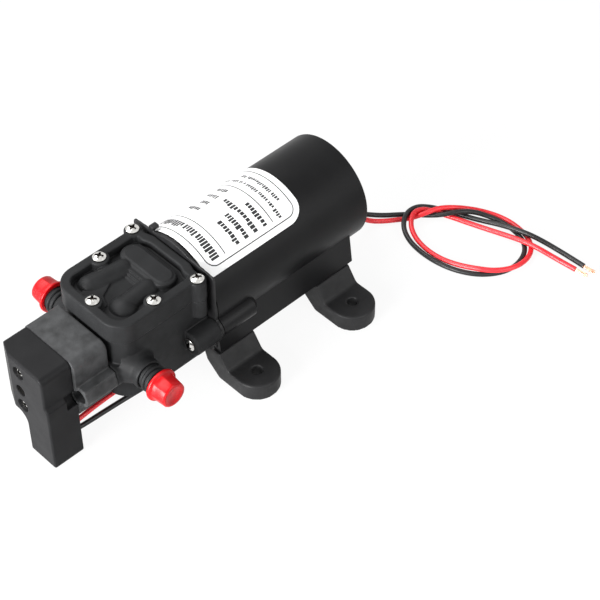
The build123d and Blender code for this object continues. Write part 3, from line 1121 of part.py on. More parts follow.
BLACK_ROUTE = [
    (49.8, 1.8, 20.8), (54.5, 1.8, 20.8), (60.4, 1.8, 17.4), (65.0, 1.9, 11.0), (69.7, 1.3, 5.5),
    (75.1, -0.7, 2.4), (79.9, -4.4, 1.4), (84.6, -8.0, 1.2), (89.1, -12.0, 1.2), (93.3, -17.1, 1.2),
    (97.0, -22.9, 2.9), (102.4, -27.4, 4.4), (108.6, -31.7, 3.4), (112.6, -37.3, 1.8), (114.5, -44.0, 1.3),
    (114.5, -51.2, 1.2), (112.7, -57.9, 1.2), (108.9, -62.7, 1.2), (103.3, -65.5, 1.2), (96.6, -66.4, 1.2),
    (89.5, -64.2, 1.2), (82.6, -58.7, 1.2), (77.7, -50.6, 1.2), (75.2, -41.3, 1.2), (74.7, -32.0, 1.4),
    (75.6, -23.7, 2.2), (78.7, -17.0, 3.6), (85.1, -12.3, 4.3), (92.6, -11.3, 3.2), (98.2, -14.7, 1.7),
    (101.9, -20.8, 1.2), (105.1, -28.7, 1.2), (108.4, -36.5, 1.3), (111.2, -44.2, 2.5), (113.0, -52.0, 3.8),
    (115.1, -59.3, 4.0), (117.5, -66.0, 2.4), (118.8, -72.8, 1.4), (119.3, -80.0, 1.2), (119.5, -87.1, 1.2),
]
JUMPER_RED_ROUTE = [
    (-102.3, -7.9, 10.4), (-95.5, -7.6, 10.9), (-86.5, -7.0, 10.9), (-76.0, -6.2, 10.0), (-64.5, -5.6, 8.4),
    (-52.5, -5.3, 6.9), (-40.5, -5.5, 5.9), (-30.0, -5.9, 5.9), (-21.6, -6.1, 7.6), (-15.6, -6.2, 11.2),
    (-13.4, -6.2, 16.2),
]
JUMPER_BLACK_ROUTE = [
    (-102.3, -7.1, 5.4), (-95.0, -7.9, 5.6), (-86.0, -9.0, 6.6), (-75.5, -9.9, 7.0), (-64.5, -10.3, 6.4),
    (-52.5, -10.3, 5.5), (-40.5, -10.1, 5.0), (-30.0, -9.9, 5.4), (-21.6, -9.8, 7.3), (-15.6, -9.8, 11.2),
    (-13.4, -9.8, 16.2),
]


def strands(route):
    """The bared copper, a straight stub on from the end of a lead."""
    before, end = Vector(*route[-2]), Vector(*route[-1])
    ahead = (end - before).normalized()
    return Plane(origin=end, z_dir=ahead) * extrude(Circle(STRANDS_R), STRANDS_LONG)


def build():
    """Every piece by name. A list holds separate solids of one node."""
    pieces = {
        "motor_housing": motor_housing(),
        "motor_can": motor_can(),
        "magnets": magnets(),
        "front_bearing": bearing(FRONT_BEARING_X),
        "rear_bearing": bearing(REAR_BEARING_X),
        "motor_shaft": motor_shaft(),
        "armature_core": armature_core(),
        "armature_windings": armature_windings(),
        "commutator": commutator(),
        "brushes": brushes(),
        "brush_springs": brush_springs(),
        "brush_plate": brush_plate(),
        "motor_rear_cover": motor_rear_cover(),
        "lead_grommet": lead_grommet(),
        "backing_plate": backing_plate(),
        "pump_body": pump_body(),
        "top_cover": top_cover(),
        "cover_screws": cover_screws(),
        "case_screws": case_screws(),
        "valve_plate": valve_plate(),
        "cover_seal": cover_seal(),
        "inlet_valve": inlet_valve(),
        "outlet_valve": outlet_valve(),
        "inlet_port": port(1),
        "outlet_port": port(-1),
        "inlet_cap": cap(1),
        "outlet_cap": cap(-1),
        "eccentric_hub": eccentric_hub(),
        "hub_grub_screw": hub_grub_screw(),
        "rod_bearing": rod_bearing(),
        "connecting_rod": connecting_rod(),
        "diaphragm_clamp": diaphragm_clamp(),
        "clamp_screw": clamp_screw(),
        "diaphragm": diaphragm(),
        "switch_block": switch_block(),
        "sensing_diaphragm": sensing_diaphragm(),
        "block_screws": block_screws(),
        "switch_plunger": switch_plunger(),
        "pressure_spring": pressure_spring(),
        "adjusting_screw": adjusting_screw(),
        "switch_cover": switch_cover(),
        "switch_cover_screws": switch_cover_screws(),
        "microswitch_case": microswitch_case(),
        "microswitch_button": microswitch_button(),
        "microswitch_terminals": microswitch_terminals(),
        "switch_lever": switch_lever(),
        "lever_pin": lever_pin(),
        "label": label(),
        "red_lead": tube(RED_ROUTE, LEAD_R, "red_lead"),
        "black_lead": tube(BLACK_ROUTE, LEAD_R, "black_lead"),
        "red_lead_strands": strands(RED_ROUTE),
        "black_lead_strands": strands(BLACK_ROUTE),
        "switch_wire_red": tube(JUMPER_RED_ROUTE, JUMPER_R, "switch_wire_red"),
        "switch_wire_black": tube(JUMPER_BLACK_ROUTE, JUMPER_R, "switch_wire_black"),
    }
    for end, end_name in ((-1, "front"), (1, "rear")):
        for side, side_name in ((-1, "right"), (1, "left")):
            pieces[f"foot_{end_name}_{side_name}"] = foot(end, side)
    return pieces


def solids_of(piece):
    """The solids of a piece, or of a list of pieces."""
    many = piece if isinstance(piece, (list, tuple)) else [piece]
    return [solid for one in many for solid in one.solids()]


os.makedirs("parts", exist_ok=True)
for name, piece in build().items():
    found = solids_of(piece)
    export_step(found[0] if len(found) == 1 else Compound(children=found), f"parts/{name}.step")
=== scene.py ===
# %% [markdown]
# A small twelve volt diaphragm pump, of the kind that feeds a tap in a camper van.
# The black motor lies on four rubber feet, the pump head is bolted to its front, and a pressure
# switch hangs on the head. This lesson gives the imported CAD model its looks: the finish of every
# surface, the moulded edges, the screws, the print on the label, and the leads.
# The model is the fixed frame. Nothing in it is moved, and each new piece is made where the frame
# says, in metres, so nothing has to be fitted afterwards.

# %% Load the frame
import math
import bmesh
import bpy
from mathutils import Matrix, Vector


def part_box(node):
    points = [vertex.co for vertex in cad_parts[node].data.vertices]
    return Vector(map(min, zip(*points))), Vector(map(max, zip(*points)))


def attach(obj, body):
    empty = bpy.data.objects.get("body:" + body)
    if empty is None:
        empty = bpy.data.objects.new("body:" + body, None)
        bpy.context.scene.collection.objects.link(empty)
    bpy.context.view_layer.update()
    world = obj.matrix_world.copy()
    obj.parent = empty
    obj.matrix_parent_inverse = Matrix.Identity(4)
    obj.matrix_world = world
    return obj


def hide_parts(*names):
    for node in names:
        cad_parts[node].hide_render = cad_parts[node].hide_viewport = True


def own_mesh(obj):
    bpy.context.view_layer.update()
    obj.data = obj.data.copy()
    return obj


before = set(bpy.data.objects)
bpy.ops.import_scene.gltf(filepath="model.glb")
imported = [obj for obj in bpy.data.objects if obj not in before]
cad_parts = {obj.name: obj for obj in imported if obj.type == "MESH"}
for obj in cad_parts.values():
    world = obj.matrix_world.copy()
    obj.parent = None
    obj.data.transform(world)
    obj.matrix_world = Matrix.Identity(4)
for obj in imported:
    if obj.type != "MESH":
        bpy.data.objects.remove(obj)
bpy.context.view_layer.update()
MM = 0.001
print("nodes in the frame:", len(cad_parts))

# %% [markdown]
# The camera stands where the photographer's stood: in front of the pump head, to its right, and
# well above, looking down by 46 degrees. A long lens keeps the motor's sides nearly parallel.
# The direction is written as a turn about the vertical, a tilt and a slight roll, and the three
# columns of the camera's matrix follow from them, which is easier to check than Euler angles.

# %% Camera
CAMERA_PLACE = Vector((-0.37045, -0.42029, 0.58828))
CAMERA_TURN = math.radians(-43.73)
CAMERA_TILT = math.radians(46.35)
CAMERA_ROLL = math.radians(-0.36)
CAMERA_LENS = 113.58

turned = Vector((math.cos(CAMERA_TURN), math.sin(CAMERA_TURN), 0))
back = Vector((math.sin(CAMERA_TURN) * math.cos(CAMERA_TILT),
               -math.cos(CAMERA_TURN) * math.cos(CAMERA_TILT), math.sin(CAMERA_TILT)))
level = back.cross(turned)
right = turned * math.cos(CAMERA_ROLL) + level * math.sin(CAMERA_ROLL)
up = level * math.cos(CAMERA_ROLL) - turned * math.sin(CAMERA_ROLL)


def add_object(name, data):
    """Puts a mesh, a curve, a lamp or a camera into the scene."""
    thing = bpy.data.objects.new(name, data)
    bpy.context.collection.objects.link(thing)
    return thing


lens = bpy.data.cameras.new("camera")
lens.lens = CAMERA_LENS
lens.sensor_width = 36
camera = add_object("camera", lens)
camera.matrix_world = Matrix.Translation(CAMERA_PLACE) @ Matrix((right, up, back)).transposed().to_4x4()
bpy.context.scene.camera = camera
print("camera is", round(CAMERA_PLACE.length, 3), "m from the middle of the feet")

# %% [markdown]
# Shader trees and Geometry Nodes trees are both node trees, so one small helper serves both.
# It adds a node, sets its options, and fills each input with a number, a colour or a link from
# another node. A node on its own stands for its first output. The nodes are set out in a row, so
# a tree can be read in the editor from left to right in the order in which it was made.

# %% A helper for node trees
NODE_STEP = 220


class Board:
    """A node tree with short words for adding nodes and joining them."""

    def __init__(self, tree):
        self.tree = tree

    def add(self, kind, inputs=None, **options):
        node = self.tree.nodes.new(kind)
        node.location = (NODE_STEP * len(self.tree.nodes), 0)
        for name, value in options.items():
            setattr(node, name, value)
        for key, value in (inputs or {}).items():
            self.put(node.inputs[key], value)
        return node

    def put(self, socket, value):
        if isinstance(value, list):
            for one in value:
                self.put(socket, one)
        elif isinstance(value, bpy.types.Node):
            self.tree.links.new(value.outputs[0], socket)
        elif isinstance(value, bpy.types.NodeSocket):
            self.tree.links.new(value, socket)
        else:
            socket.default_value = value

    def math(self, operation, first, second=0.0):
        return self.add("ShaderNodeMath", {0: first, 1: second}, operation=operation)

    def xyz(self, x=0.0, y=0.0, z=0.0):
        return self.add("ShaderNodeCombineXYZ", {0: x, 1: y, 2: z})


print("the helper can add, put, math and xyz")

# %% [markdown]
# Every finish on this pump is one recipe with different amounts: a colour that drifts a little
# over the surface, a gloss that drifts too, and a fine grain that catches the light. Moulded
# plastic is never one flat black: the mould is spark eroded, so the surface has a grain of about
# a third of a millimetre, and flow marks make it lighter and darker over a few millimetres.
# All patterns read Object coordinates, which on these pieces are metres in the frame.

# %% The finish recipe
NOISE_LOW, NOISE_HIGH = 0.3, 0.7
GRAIN_HEIGHT = 0.0003
PATCHES_PER_DRIFT = 2.3
# The painted shade grows from none to full as the depth share runs between these two.
PAINTED_SHADE_FROM, PAINTED_SHADE_TO = 0.10, 0.45
FINISHES = {}


def finish(name, dark, light, rough, drift=(150, 3), grain=(2600, 0.03), metal=0.0, gloss=0.5, deep=None):
    """A surface whose colour, roughness and grain all vary. Drift and grain are scale and strength.
    A deep tone is painted shade, which the surface turns to where the depth attribute of its mesh is high."""
    material = bpy.data.materials.new(name)
    material.use_nodes = True
    board = Board(material.node_tree)
    surface = material.node_tree.nodes["Principled BSDF"]
    place = board.add("ShaderNodeTexCoord").outputs["Object"]
    cloud = board.add("ShaderNodeTexNoise", {"Vector": place, "Scale": drift[0], "Detail": drift[1]})
    ramp = board.add("ShaderNodeValToRGB", {"Fac": cloud})
    ramp.color_ramp.elements[0].position = NOISE_LOW
    ramp.color_ramp.elements[0].color = (*dark, 1)
    ramp.color_ramp.elements[1].position = NOISE_HIGH
    ramp.color_ramp.elements[1].color = (*light, 1)
    patch = board.add("ShaderNodeTexNoise", {"Vector": place, "Scale": drift[0] * PATCHES_PER_DRIFT,
                                            "Detail": 4.0})
    shine = board.add("ShaderNodeMapRange", {"Value": patch, "From Min": NOISE_LOW, "From Max": NOISE_HIGH,
                                             "To Min": rough[0], "To Max": rough[1]})
    pits = board.add("ShaderNodeTexNoise", {"Vector": place, "Scale": grain[0], "Detail": 2.0})
    bump = board.add("ShaderNodeBump", {"Height": pits, "Strength": grain[1], "Distance": GRAIN_HEIGHT})
    tone = ramp
    # Painted shade: the tone turns towards the deep colour by the depth that the mesh stores at its points.
    if deep:
        hollow = board.add("ShaderNodeAttribute", attribute_name="hollow").outputs["Fac"]
        edge = board.add("ShaderNodeMapRange", {"Value": hollow, "From Min": PAINTED_SHADE_FROM, "From Max": PAINTED_SHADE_TO})
        tone = board.add("ShaderNodeMix", {0: edge, 6: ramp, 7: (*deep, 1)}, data_type="RGBA").outputs[2]
    board.put(surface.inputs["Base Color"], tone)
    board.put(surface.inputs["Roughness"], shine)
    board.put(surface.inputs["Normal"], bump)
    surface.inputs["Metallic"].default_value = metal
    surface.inputs["Specular IOR Level"].default_value = gloss
    FINISHES[name] = material


print("finish() takes a dark and a light tone, a range of roughness, a drift and a grain")

# %% [markdown]
# The pump is nearly all black, and it only looks real if its blacks differ. The motor sleeve is
# the darkest and smoothest, the head is a grained glass-filled nylon with a slight sheen, the
# switch block is a dull mottled grey, and the switch cover is a smooth black. The names, but for
# label_ink, are the material slots that the CAD record gives to its nodes, so one loop dresses the
# whole frame.

# %% Finishes for the material slots
finish("housing_black", (0.0036, 0.0036, 0.0039), (0.0056, 0.0056, 0.0060), (0.34, 0.42),
       drift=(60, 3), grain=(3200, 0.05), gloss=0.13)
finish("head_black", (0.010, 0.0102, 0.0106), (0.015, 0.0154, 0.0160), (0.42, 0.56),
       drift=(130, 5), grain=(2400, 0.16), gloss=0.08)
finish("plate_black", (0.006, 0.006, 0.0065), (0.010, 0.010, 0.0105), (0.38, 0.50),
       drift=(200, 3), grain=(2600, 0.10), gloss=0.2)
finish("switch_grey", (0.017, 0.0175, 0.018), (0.044, 0.045, 0.0465), (0.46, 0.64),
       drift=(190, 8), grain=(2000, 0.22), gloss=0.18)
finish("switch_black", (0.008, 0.008, 0.0085), (0.011, 0.011, 0.0115), (0.38, 0.46),
       drift=(90, 3), grain=(3000, 0.07), gloss=0.06)
# The zinc's deep tone is painted shade: it darkens the cross recesses of the screws and the lower sides of
# their heads.
finish("zinc_steel", (0.52, 0.51, 0.49), (0.78, 0.77, 0.74), (0.14, 0.24),
       drift=(900, 3), grain=(4000, 0.03), metal=1.0, deep=(0.030, 0.026, 0.022))
finish("bare_steel", (0.44, 0.44, 0.45), (0.58, 0.58, 0.58), (0.22, 0.36),
       drift=(400, 4), grain=(3500, 0.06), metal=1.0)
finish("cap_red", (0.34, 0.0015, 0.003), (0.40, 0.0025, 0.005), (0.30, 0.36),
       drift=(160, 3), grain=(1500, 0.02), gloss=0.22)
finish("foot_rubber", (0.008, 0.008, 0.0085), (0.013, 0.013, 0.0135), (0.44, 0.60),
       drift=(140, 4), grain=(2200, 0.15), gloss=0.2)
finish("seal_rubber", (0.010, 0.010, 0.0105), (0.018, 0.018, 0.0185), (0.50, 0.66),
       drift=(150, 4), grain=(2600, 0.14), gloss=0.25)
finish("white_plastic", (0.66, 0.66, 0.63), (0.76, 0.76, 0.73), (0.35, 0.5),
       drift=(140, 3), grain=(2600, 0.05))
finish("label_white", (0.82, 0.82, 0.82), (0.86, 0.86, 0.86), (0.34, 0.44),
       drift=(70, 3), grain=(1600, 0.02), gloss=0.4)
finish("label_ink", (0.012, 0.012, 0.013), (0.022, 0.022, 0.023), (0.42, 0.55),
       drift=(900, 3), grain=(2600, 0.04), gloss=0.3)
finish("lead_red", (0.66, 0.012, 0.020), (0.78, 0.022, 0.032), (0.32, 0.44),
       drift=(220, 3), grain=(1400, 0.06), gloss=0.5)
finish("lead_black", (0.008, 0.008, 0.0085), (0.013, 0.013, 0.0135), (0.32, 0.44),
       drift=(220, 3), grain=(1400, 0.06), gloss=0.3)
finish("copper", (0.72, 0.36, 0.24), (0.86, 0.52, 0.38), (0.20, 0.34),
       drift=(1200, 3), grain=(4000, 0.05), metal=1.0)
finish("tinned_brass", (0.60, 0.55, 0.40), (0.74, 0.68, 0.52), (0.24, 0.36),
       drift=(500, 3), grain=(3500, 0.04), metal=1.0)
finish("ferrite", (0.07, 0.07, 0.072), (0.12, 0.12, 0.122), (0.55, 0.72),
       drift=(300, 4), grain=(2600, 0.2))
finish("core_iron", (0.22, 0.22, 0.23), (0.34, 0.34, 0.35), (0.35, 0.5),
       drift=(400, 4), grain=(2600, 0.1), metal=1.0)
finish("carbon", (0.05, 0.05, 0.05), (0.09, 0.09, 0.09), (0.45, 0.6),
       drift=(400, 4), grain=(2600, 0.12))
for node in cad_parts.values():
    for place in node.material_slots:
        place.material = FINISHES[place.material.name.split(".")[0]]
print("finishes:", len(FINISHES))

# %% [markdown]
# The two supply leads leave a rubber grommet low on the motor's rear cover, drop to the table and
# lie there in one wide loop, crossing each other several times. Each is a tube along one NURBS
# curve whose control points are the route that the CAD model uses. Order 3 is set after the
# points are added, because set before, the curve stays at order 2, which is straight runs.
# The photograph shows both leads from end to end, so they are as long as that and no longer.

# %% Routes of the leads and of the switch wires
ROUTE_STEPS_PER_METRE = 10000


def route(*points):
    """A route that is written in tenths of a millimetre, in metres."""
    return [tuple(value / ROUTE_STEPS_PER_METRE for value in point) for point in points]


RED_ROUTE = route(
    (498, -18, 208), (545, -18, 208), (600, -18, 172), (644, -19, 108), (684, -26, 55), (728, -41, 23),
    (774, -71, 14), (821, -102, 12), (867, -136, 12), (910, -174, 36), (979, -204, 51),
    (1052, -246, 34), (1114, -300, 17), (1154, -371, 12), (1173, -450, 12), (1170, -528, 12),
    (1148, -602, 12), (1099, -655, 13), (1022, -683, 26), (944, -677, 34), (876, -637, 38),
    (829, -571, 37), (798, -489, 22), (778, -402, 14), (776, -315, 15), (790, -239, 23),
    (822, -181, 40), (883, -142, 51), (952, -152, 28), (989, -208, 12), (1010, -264, 12),
    (1034, -337, 12), (1064, -431, 15), (1086, -521, 26), (1101, -605, 39), (1114, -677, 39),
    (1132, -738, 23), (1145, -798, 14), (1153, -859, 12)
)
BLACK_ROUTE = route(
    (498, 18, 208), (545, 18, 208), (604, 18, 174), (650, 19, 110), (697, 13, 55), (751, -7, 24),
    (799, -44, 14), (846, -80, 12), (891, -120, 12), (933, -171, 12), (970, -229, 29), (1024, -274, 44),
    (1086, -317, 34), (1126, -373, 18), (1145, -440, 13), (1145, -512, 12), (1127, -579, 12),
    (1089, -627, 12), (1033, -655, 12), (966, -664, 12), (895, -642, 12), (826, -587, 12),
    (777, -506, 12), (752, -413, 12), (747, -320, 14), (756, -237, 22), (787, -170, 36),
    (851, -123, 43), (926, -113, 32), (982, -147, 17), (1019, -208, 12), (1051, -287, 12),
    (1084, -365, 13), (1112, -442, 25), (1130, -520, 38), (1151, -593, 40), (1175, -660, 24),
    (1188, -728, 14), (1193, -800, 12), (1195, -871, 12)
)
JUMPER_RED_ROUTE = route(
    (-1023, -79, 104), (-955, -76, 109), (-865, -70, 109), (-760, -62, 100), (-645, -56, 84),
    (-525, -53, 69), (-405, -55, 59), (-300, -59, 59), (-216, -61, 76), (-156, -62, 112),
    (-134, -62, 162)
)
JUMPER_BLACK_ROUTE = route(
    (-1023, -71, 54), (-950, -79, 56), (-860, -90, 66), (-755, -99, 70), (-645, -103, 64),
    (-525, -103, 55), (-405, -101, 50), (-300, -99, 54), (-216, -98, 73), (-156, -98, 112),
    (-134, -98, 162)
)
print("points on the red lead:", len(RED_ROUTE), "and on the black one:", len(BLACK_ROUTE))

# %% The four cords
LEAD_RADIUS = 0.00115
JUMPER_RADIUS = 0.0011
CURVE_STEPS = 8


def route_curve(name, points, radius):
    """A tube along one open NURBS spline with the route's points as its control points."""
    curve = bpy.data.curves.new(name, "CURVE")
    curve.dimensions = "3D"
    curve.resolution_u = CURVE_STEPS
    curve.bevel_depth = radius
    curve.bevel_resolution = 5
    curve.use_fill_caps = True
    spline = curve.splines.new("NURBS")
    spline.points.add(len(points) - 1)
    for control, place in zip(spline.points, points):
        control.co = (*place, 1)
    spline.order_u = 3
    spline.use_endpoint_u = True
    return add_object(name, curve)


def route_line(cord):
    """The points of the cord's own smooth line, read from the same spline with no bevel."""
    bare = cord.copy()
    bare.data = cord.data.copy()
    bare.data.bevel_depth = 0
    mesh = bpy.data.meshes.new_from_object(bare)
    line = [v.co.copy() for v in mesh.vertices]
    bpy.data.objects.remove(bare)
    return line


def line_length(line):
    return sum((b - a).length for a, b in zip(line, line[1:]))


CORDS = [("supply_lead_red", "red_lead", "lead_red", RED_ROUTE, LEAD_RADIUS, "bare"),
         ("supply_lead_black", "black_lead", "lead_black", BLACK_ROUTE, LEAD_RADIUS, "bare"),
         ("switch_jumper_red", "switch_wire_red", "lead_red", JUMPER_RED_ROUTE, JUMPER_RADIUS, "object"),
         ("switch_jumper_black", "switch_wire_black", "lead_black", JUMPER_BLACK_ROUTE, JUMPER_RADIUS,
          "object")]
cords = {}
lines = {}
for name, node, slot, points, radius, far_end in CORDS:
    cords[name] = route_curve(name, points, radius)
    cords[name].data.materials.append(FINISHES[slot])
    lines[name] = route_line(cords[name])
    print(name, "is", round(line_length(lines[name]) * 1000, 1), "mm long")

# %% [markdown]
# Screws, ribs, strands and print all repeat, so Geometry Nodes make them. A recipe is a tree with
# named inputs for its sizes. It is put on a few loose points that say where things go, it runs
# once, and the result is kept as a plain mesh, so the finished piece carries no modifier.
# An input is set by its socket's identifier, because its name is only what the editor shows.

# %% A helper for Geometry Nodes
class Recipe(Board):
    """A Geometry Nodes tree with named inputs, which ends in Realize Instances and Set Material."""

    SOCKETS = {int: "NodeSocketInt", float: "NodeSocketFloat", tuple: "NodeSocketVector"}

    def __init__(self, name):
        super().__init__(bpy.data.node_groups.new(name, "GeometryNodeTree"))
        face = self.tree.interface
        face.new_socket("Geometry", in_out="INPUT", socket_type="NodeSocketGeometry")
        face.new_socket("Geometry", in_out="OUTPUT", socket_type="NodeSocketGeometry")
        face.new_socket("Material", in_out="INPUT", socket_type="NodeSocketMaterial")
        self.given = self.add("NodeGroupInput")

    def size(self, name, value):
        kind = self.SOCKETS[type(value)]
        socket = self.tree.interface.new_socket(name, in_out="INPUT", socket_type=kind)
        socket.default_value = value
        return self.given.outputs[name]

    def end(self, geometry):
        real = self.add("GeometryNodeRealizeInstances", {"Geometry": geometry})
        dressed = self.add("GeometryNodeSetMaterial",
                           {"Geometry": real, "Material": self.given.outputs["Material"]})
        self.add("NodeGroupOutput", {"Geometry": dressed})


def keep_piece(name, mesh, slot, body, replaced=(), sharp=35):
    """Turns a plain mesh into a finished piece: shading, slot, body and the nodes it stands for.
    With sharp at None, the mesh keeps the shading that it has."""
    piece = add_object(name, mesh)
    if not mesh.materials:
        mesh.materials.append(FINISHES[slot])
    if sharp is not None:
        mesh.shade_smooth()
        mesh.set_sharp_from_angle(angle=math.radians(sharp))
    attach(piece, body)
    if replaced:
        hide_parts(*replaced)
    print(name, "has", len(mesh.polygons), "faces")
    return piece


def evaluated_mesh(thing):
    """The object's final mesh with its modifiers run, as a plain mesh. The object is removed."""
    graph = bpy.context.evaluated_depsgraph_get()
    mesh = bpy.data.meshes.new_from_object(thing.evaluated_get(graph))
    bpy.data.objects.remove(thing)
    return mesh


def plain_mesh(name, bm):
    """Writes a bmesh to a new mesh and frees it."""
    mesh = bpy.data.meshes.new(name)
    bm.to_mesh(mesh)
    bm.free()
    return mesh


def grow(recipe, sizes, slot, places=((0, 0, 0),), **values):
    """Runs a recipe on loose points and returns the plain mesh that it makes. Each of the values is
    a list with one number for every point."""
    points = bpy.data.meshes.new("points")
    points.from_pydata(places, [], [])
    for name, numbers in values.items():
        points.attributes.new(name, "FLOAT", "POINT").data.foreach_set("value", numbers)
    seed = add_object("start", points)
    modifier = seed.modifiers.new("recipe", "NODES")
    modifier.node_group = recipe.tree
    sizes = {**sizes, "Material": FINISHES[slot]}
    for item in recipe.tree.interface.items_tree:
        if item.item_type == "SOCKET" and item.in_out == "INPUT" and item.name in sizes:
            modifier[item.identifier] = sizes[item.name]
    return evaluated_mesh(seed)


print("recipes are grown with grow() and kept with keep_piece()")

# %% [markdown]
# Eleven zinc plated screws with a cross recess hold the pump together. A head is a short cylinder
# whose top is bent into a dome by Set Position, with two crossed bars and a deeper middle cut out
# by a Mesh Boolean. The tree then puts one screw on each point, turned by the angle kept there,
# because no two real screws stop at the same angle. The plain shank goes down into its hole.

# %% The cross head screw recipe
DOME_POWER, DOME_DROP = 2.6, 0.62
MIDDLE_WIDTH, MIDDLE_DEPTH = 1.05, 1.25
SHANK_SHIFT = -0.499


def cross_head_recipe():
    r = Recipe("Cross head screw")
    head_r = r.size("Head Radius", 0.0028)
    head_h = r.size("Head Height", 0.0015)
    slot_w = r.size("Slot Width", 0.0010)
    slot_l = r.size("Slot Length", 0.0037)
    slot_d = r.size("Slot Depth", 0.0012)
    shank_r = r.size("Shank Radius", 0.00125)
    shank_l = r.size("Shank Length", 0.012)
    facing = r.size("Facing", (0.0, 0.0, 0.0))
    disc = r.add("GeometryNodeMeshCylinder",
                 {"Vertices": 40, "Side Segments": 1, "Fill Segments": 6, "Radius": head_r,
                  "Depth": head_h}, fill_type="TRIANGLE_FAN")
    parts = r.add("ShaderNodeSeparateXYZ", {0: r.add("GeometryNodeInputPosition")})
    reach = r.add("ShaderNodeVectorMath", {0: r.xyz(parts.outputs[0], parts.outputs[1])},
                  operation="LENGTH").outputs["Value"]
    part_out = r.math("POWER", r.math("DIVIDE", reach, head_r), DOME_POWER)
    dome = r.math("MULTIPLY", head_h, r.math("SUBTRACT", 1.0, r.math("MULTIPLY", part_out, DOME_DROP)))
    is_top = r.math("GREATER_THAN", parts.outputs[2], 0.0)
    height = r.math("MULTIPLY", dome, is_top)
    moved = r.xyz(parts.outputs[0], parts.outputs[1], height)
    domed = r.add("GeometryNodeSetPosition", {"Geometry": disc, "Position": moved})
    deep = r.math("MULTIPLY", slot_d, 2.0)
    lift = r.xyz(z=head_h)
    cutters = []
    for wide, long in ((slot_w, slot_l), (slot_l, slot_w)):
        bar = r.add("GeometryNodeMeshCube", {0: r.xyz(wide, long, deep)})
        moved_bar = r.add("GeometryNodeTransform", {"Geometry": bar, "Translation": lift})
        cutters.append(moved_bar)
    middle = r.add("GeometryNodeMeshCylinder",
                   {"Vertices": 8, "Radius": r.math("MULTIPLY", slot_w, MIDDLE_WIDTH),
                    "Depth": r.math("MULTIPLY", deep, MIDDLE_DEPTH)})
    moved_middle = r.add("GeometryNodeTransform", {"Geometry": middle, "Translation": lift})
    cutters.append(moved_middle)
    cut = r.add("GeometryNodeMeshBoolean", {"Mesh 1": domed, "Mesh 2": cutters},
                operation="DIFFERENCE", solver="EXACT")
    # How far a point lies below the dome top, as a share of the slot depth, is kept on the head; the zinc
    # finish paints shade by it, in the recess and low on the head's side.
    below = r.math("SUBTRACT", dome, parts.outputs[2])
    hollow = r.add("ShaderNodeClamp", {0: r.math("DIVIDE", below, slot_d)})
    known = r.add("GeometryNodeStoreNamedAttribute",
                  {"Geometry": cut, "Name": "hollow", "Value": hollow},
                  data_type="FLOAT", domain="POINT")
    shank = r.add("GeometryNodeMeshCylinder", {"Vertices": 16, "Radius": shank_r, "Depth": shank_l})
    down = r.xyz(z=r.math("MULTIPLY", shank_l, SHANK_SHIFT))
    lowered = r.add("GeometryNodeTransform", {"Geometry": shank, "Translation": down})
    screw = r.add("GeometryNodeJoinGeometry", {0: [known, lowered]})
    spin = r.add("GeometryNodeInputNamedAttribute", {"Name": "spin"}, data_type="FLOAT")
    own = r.add("FunctionNodeEulerToRotation", {0: r.xyz(z=spin)})
    aim = r.add("FunctionNodeEulerToRotation", {0: facing})
    turn = r.add("FunctionNodeRotateRotation", {0: own, 1: aim}, rotation_space="GLOBAL")
    screws = r.add("GeometryNodeInstanceOnPoints",
                   {"Points": r.given.outputs["Geometry"], "Instance": screw, "Rotation": turn})
    r.end(screws)
    return r


cross_head = cross_head_recipe()
print("nodes in the screw recipe:", len(cross_head.tree.nodes))

# %% The five cover screws and the two case screws
TOWARDS_FRONT = (0.0, -math.pi / 2, 0.0)
COVER_SCREW_Z = 0.0592
COVER_SCREW_SPOTS = [(-0.0425, 0.0195), (-0.0425, -0.0195), (-0.06225, 0.01644), (-0.06225, -0.01644),
                     (-0.07945, 0.0)]
TALL_HEAD_H = 0.0016
TALL_SCREW = {"Head Height": TALL_HEAD_H, "Shank Radius": 0.0014, "Facing": TOWARDS_FRONT}
CASE_SCREW_SPOTS = [(-0.0506, 0.0226, 0.0302), (-0.0506, -0.0226, 0.0302)]


def screw_set(name, places, spins, replaced, sizes):
    """One group of screws that all face the same way. Their spins are in degrees."""
    mesh = grow(cross_head, sizes, "zinc_steel", places, spin=[math.radians(s) for s in spins])
    keep_piece(name, mesh, "zinc_steel", "pump", [replaced], sharp=30)


screw_set("cover_cross_screws", [(x, y, COVER_SCREW_Z) for x, y in COVER_SCREW_SPOTS], [18, 62, 35, 8, 48],
          "cover_screws", {"Shank Length": 0.015})
screw_set("case_cross_screws", CASE_SCREW_SPOTS, [25, 70], "case_screws",
          {**TALL_SCREW, "Shank Length": 0.025})

# %% The screws of the pressure switch
SWITCH_SCREW_Y = 0.002
SWITCH_SCREW_HEIGHTS = (0.0443, 0.0256)
SWITCH_HEAD_H = 0.0014
BLOCK_SCREW_Y, BLOCK_SCREW_Z = 0.0145, 0.0320
switch_seat_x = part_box("switch_cover_screws")[0][0] + SWITCH_HEAD_H
block_seat_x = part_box("block_screws")[0][0] + TALL_HEAD_H
screw_set("switch_cross_screws", [(switch_seat_x, SWITCH_SCREW_Y, z) for z in SWITCH_SCREW_HEIGHTS], [12, 55],
          "switch_cover_screws", {"Head Radius": 0.0026, "Head Height": SWITCH_HEAD_H, "Shank Length": 0.017,
                                  "Facing": TOWARDS_FRONT})
block_spots = [(block_seat_x, side * BLOCK_SCREW_Y, BLOCK_SCREW_Z) for side in (-1, 1)]
screw_set("block_cross_screws", block_spots, [33, 80], "block_screws", {**TALL_SCREW, "Shank Length": 0.006})

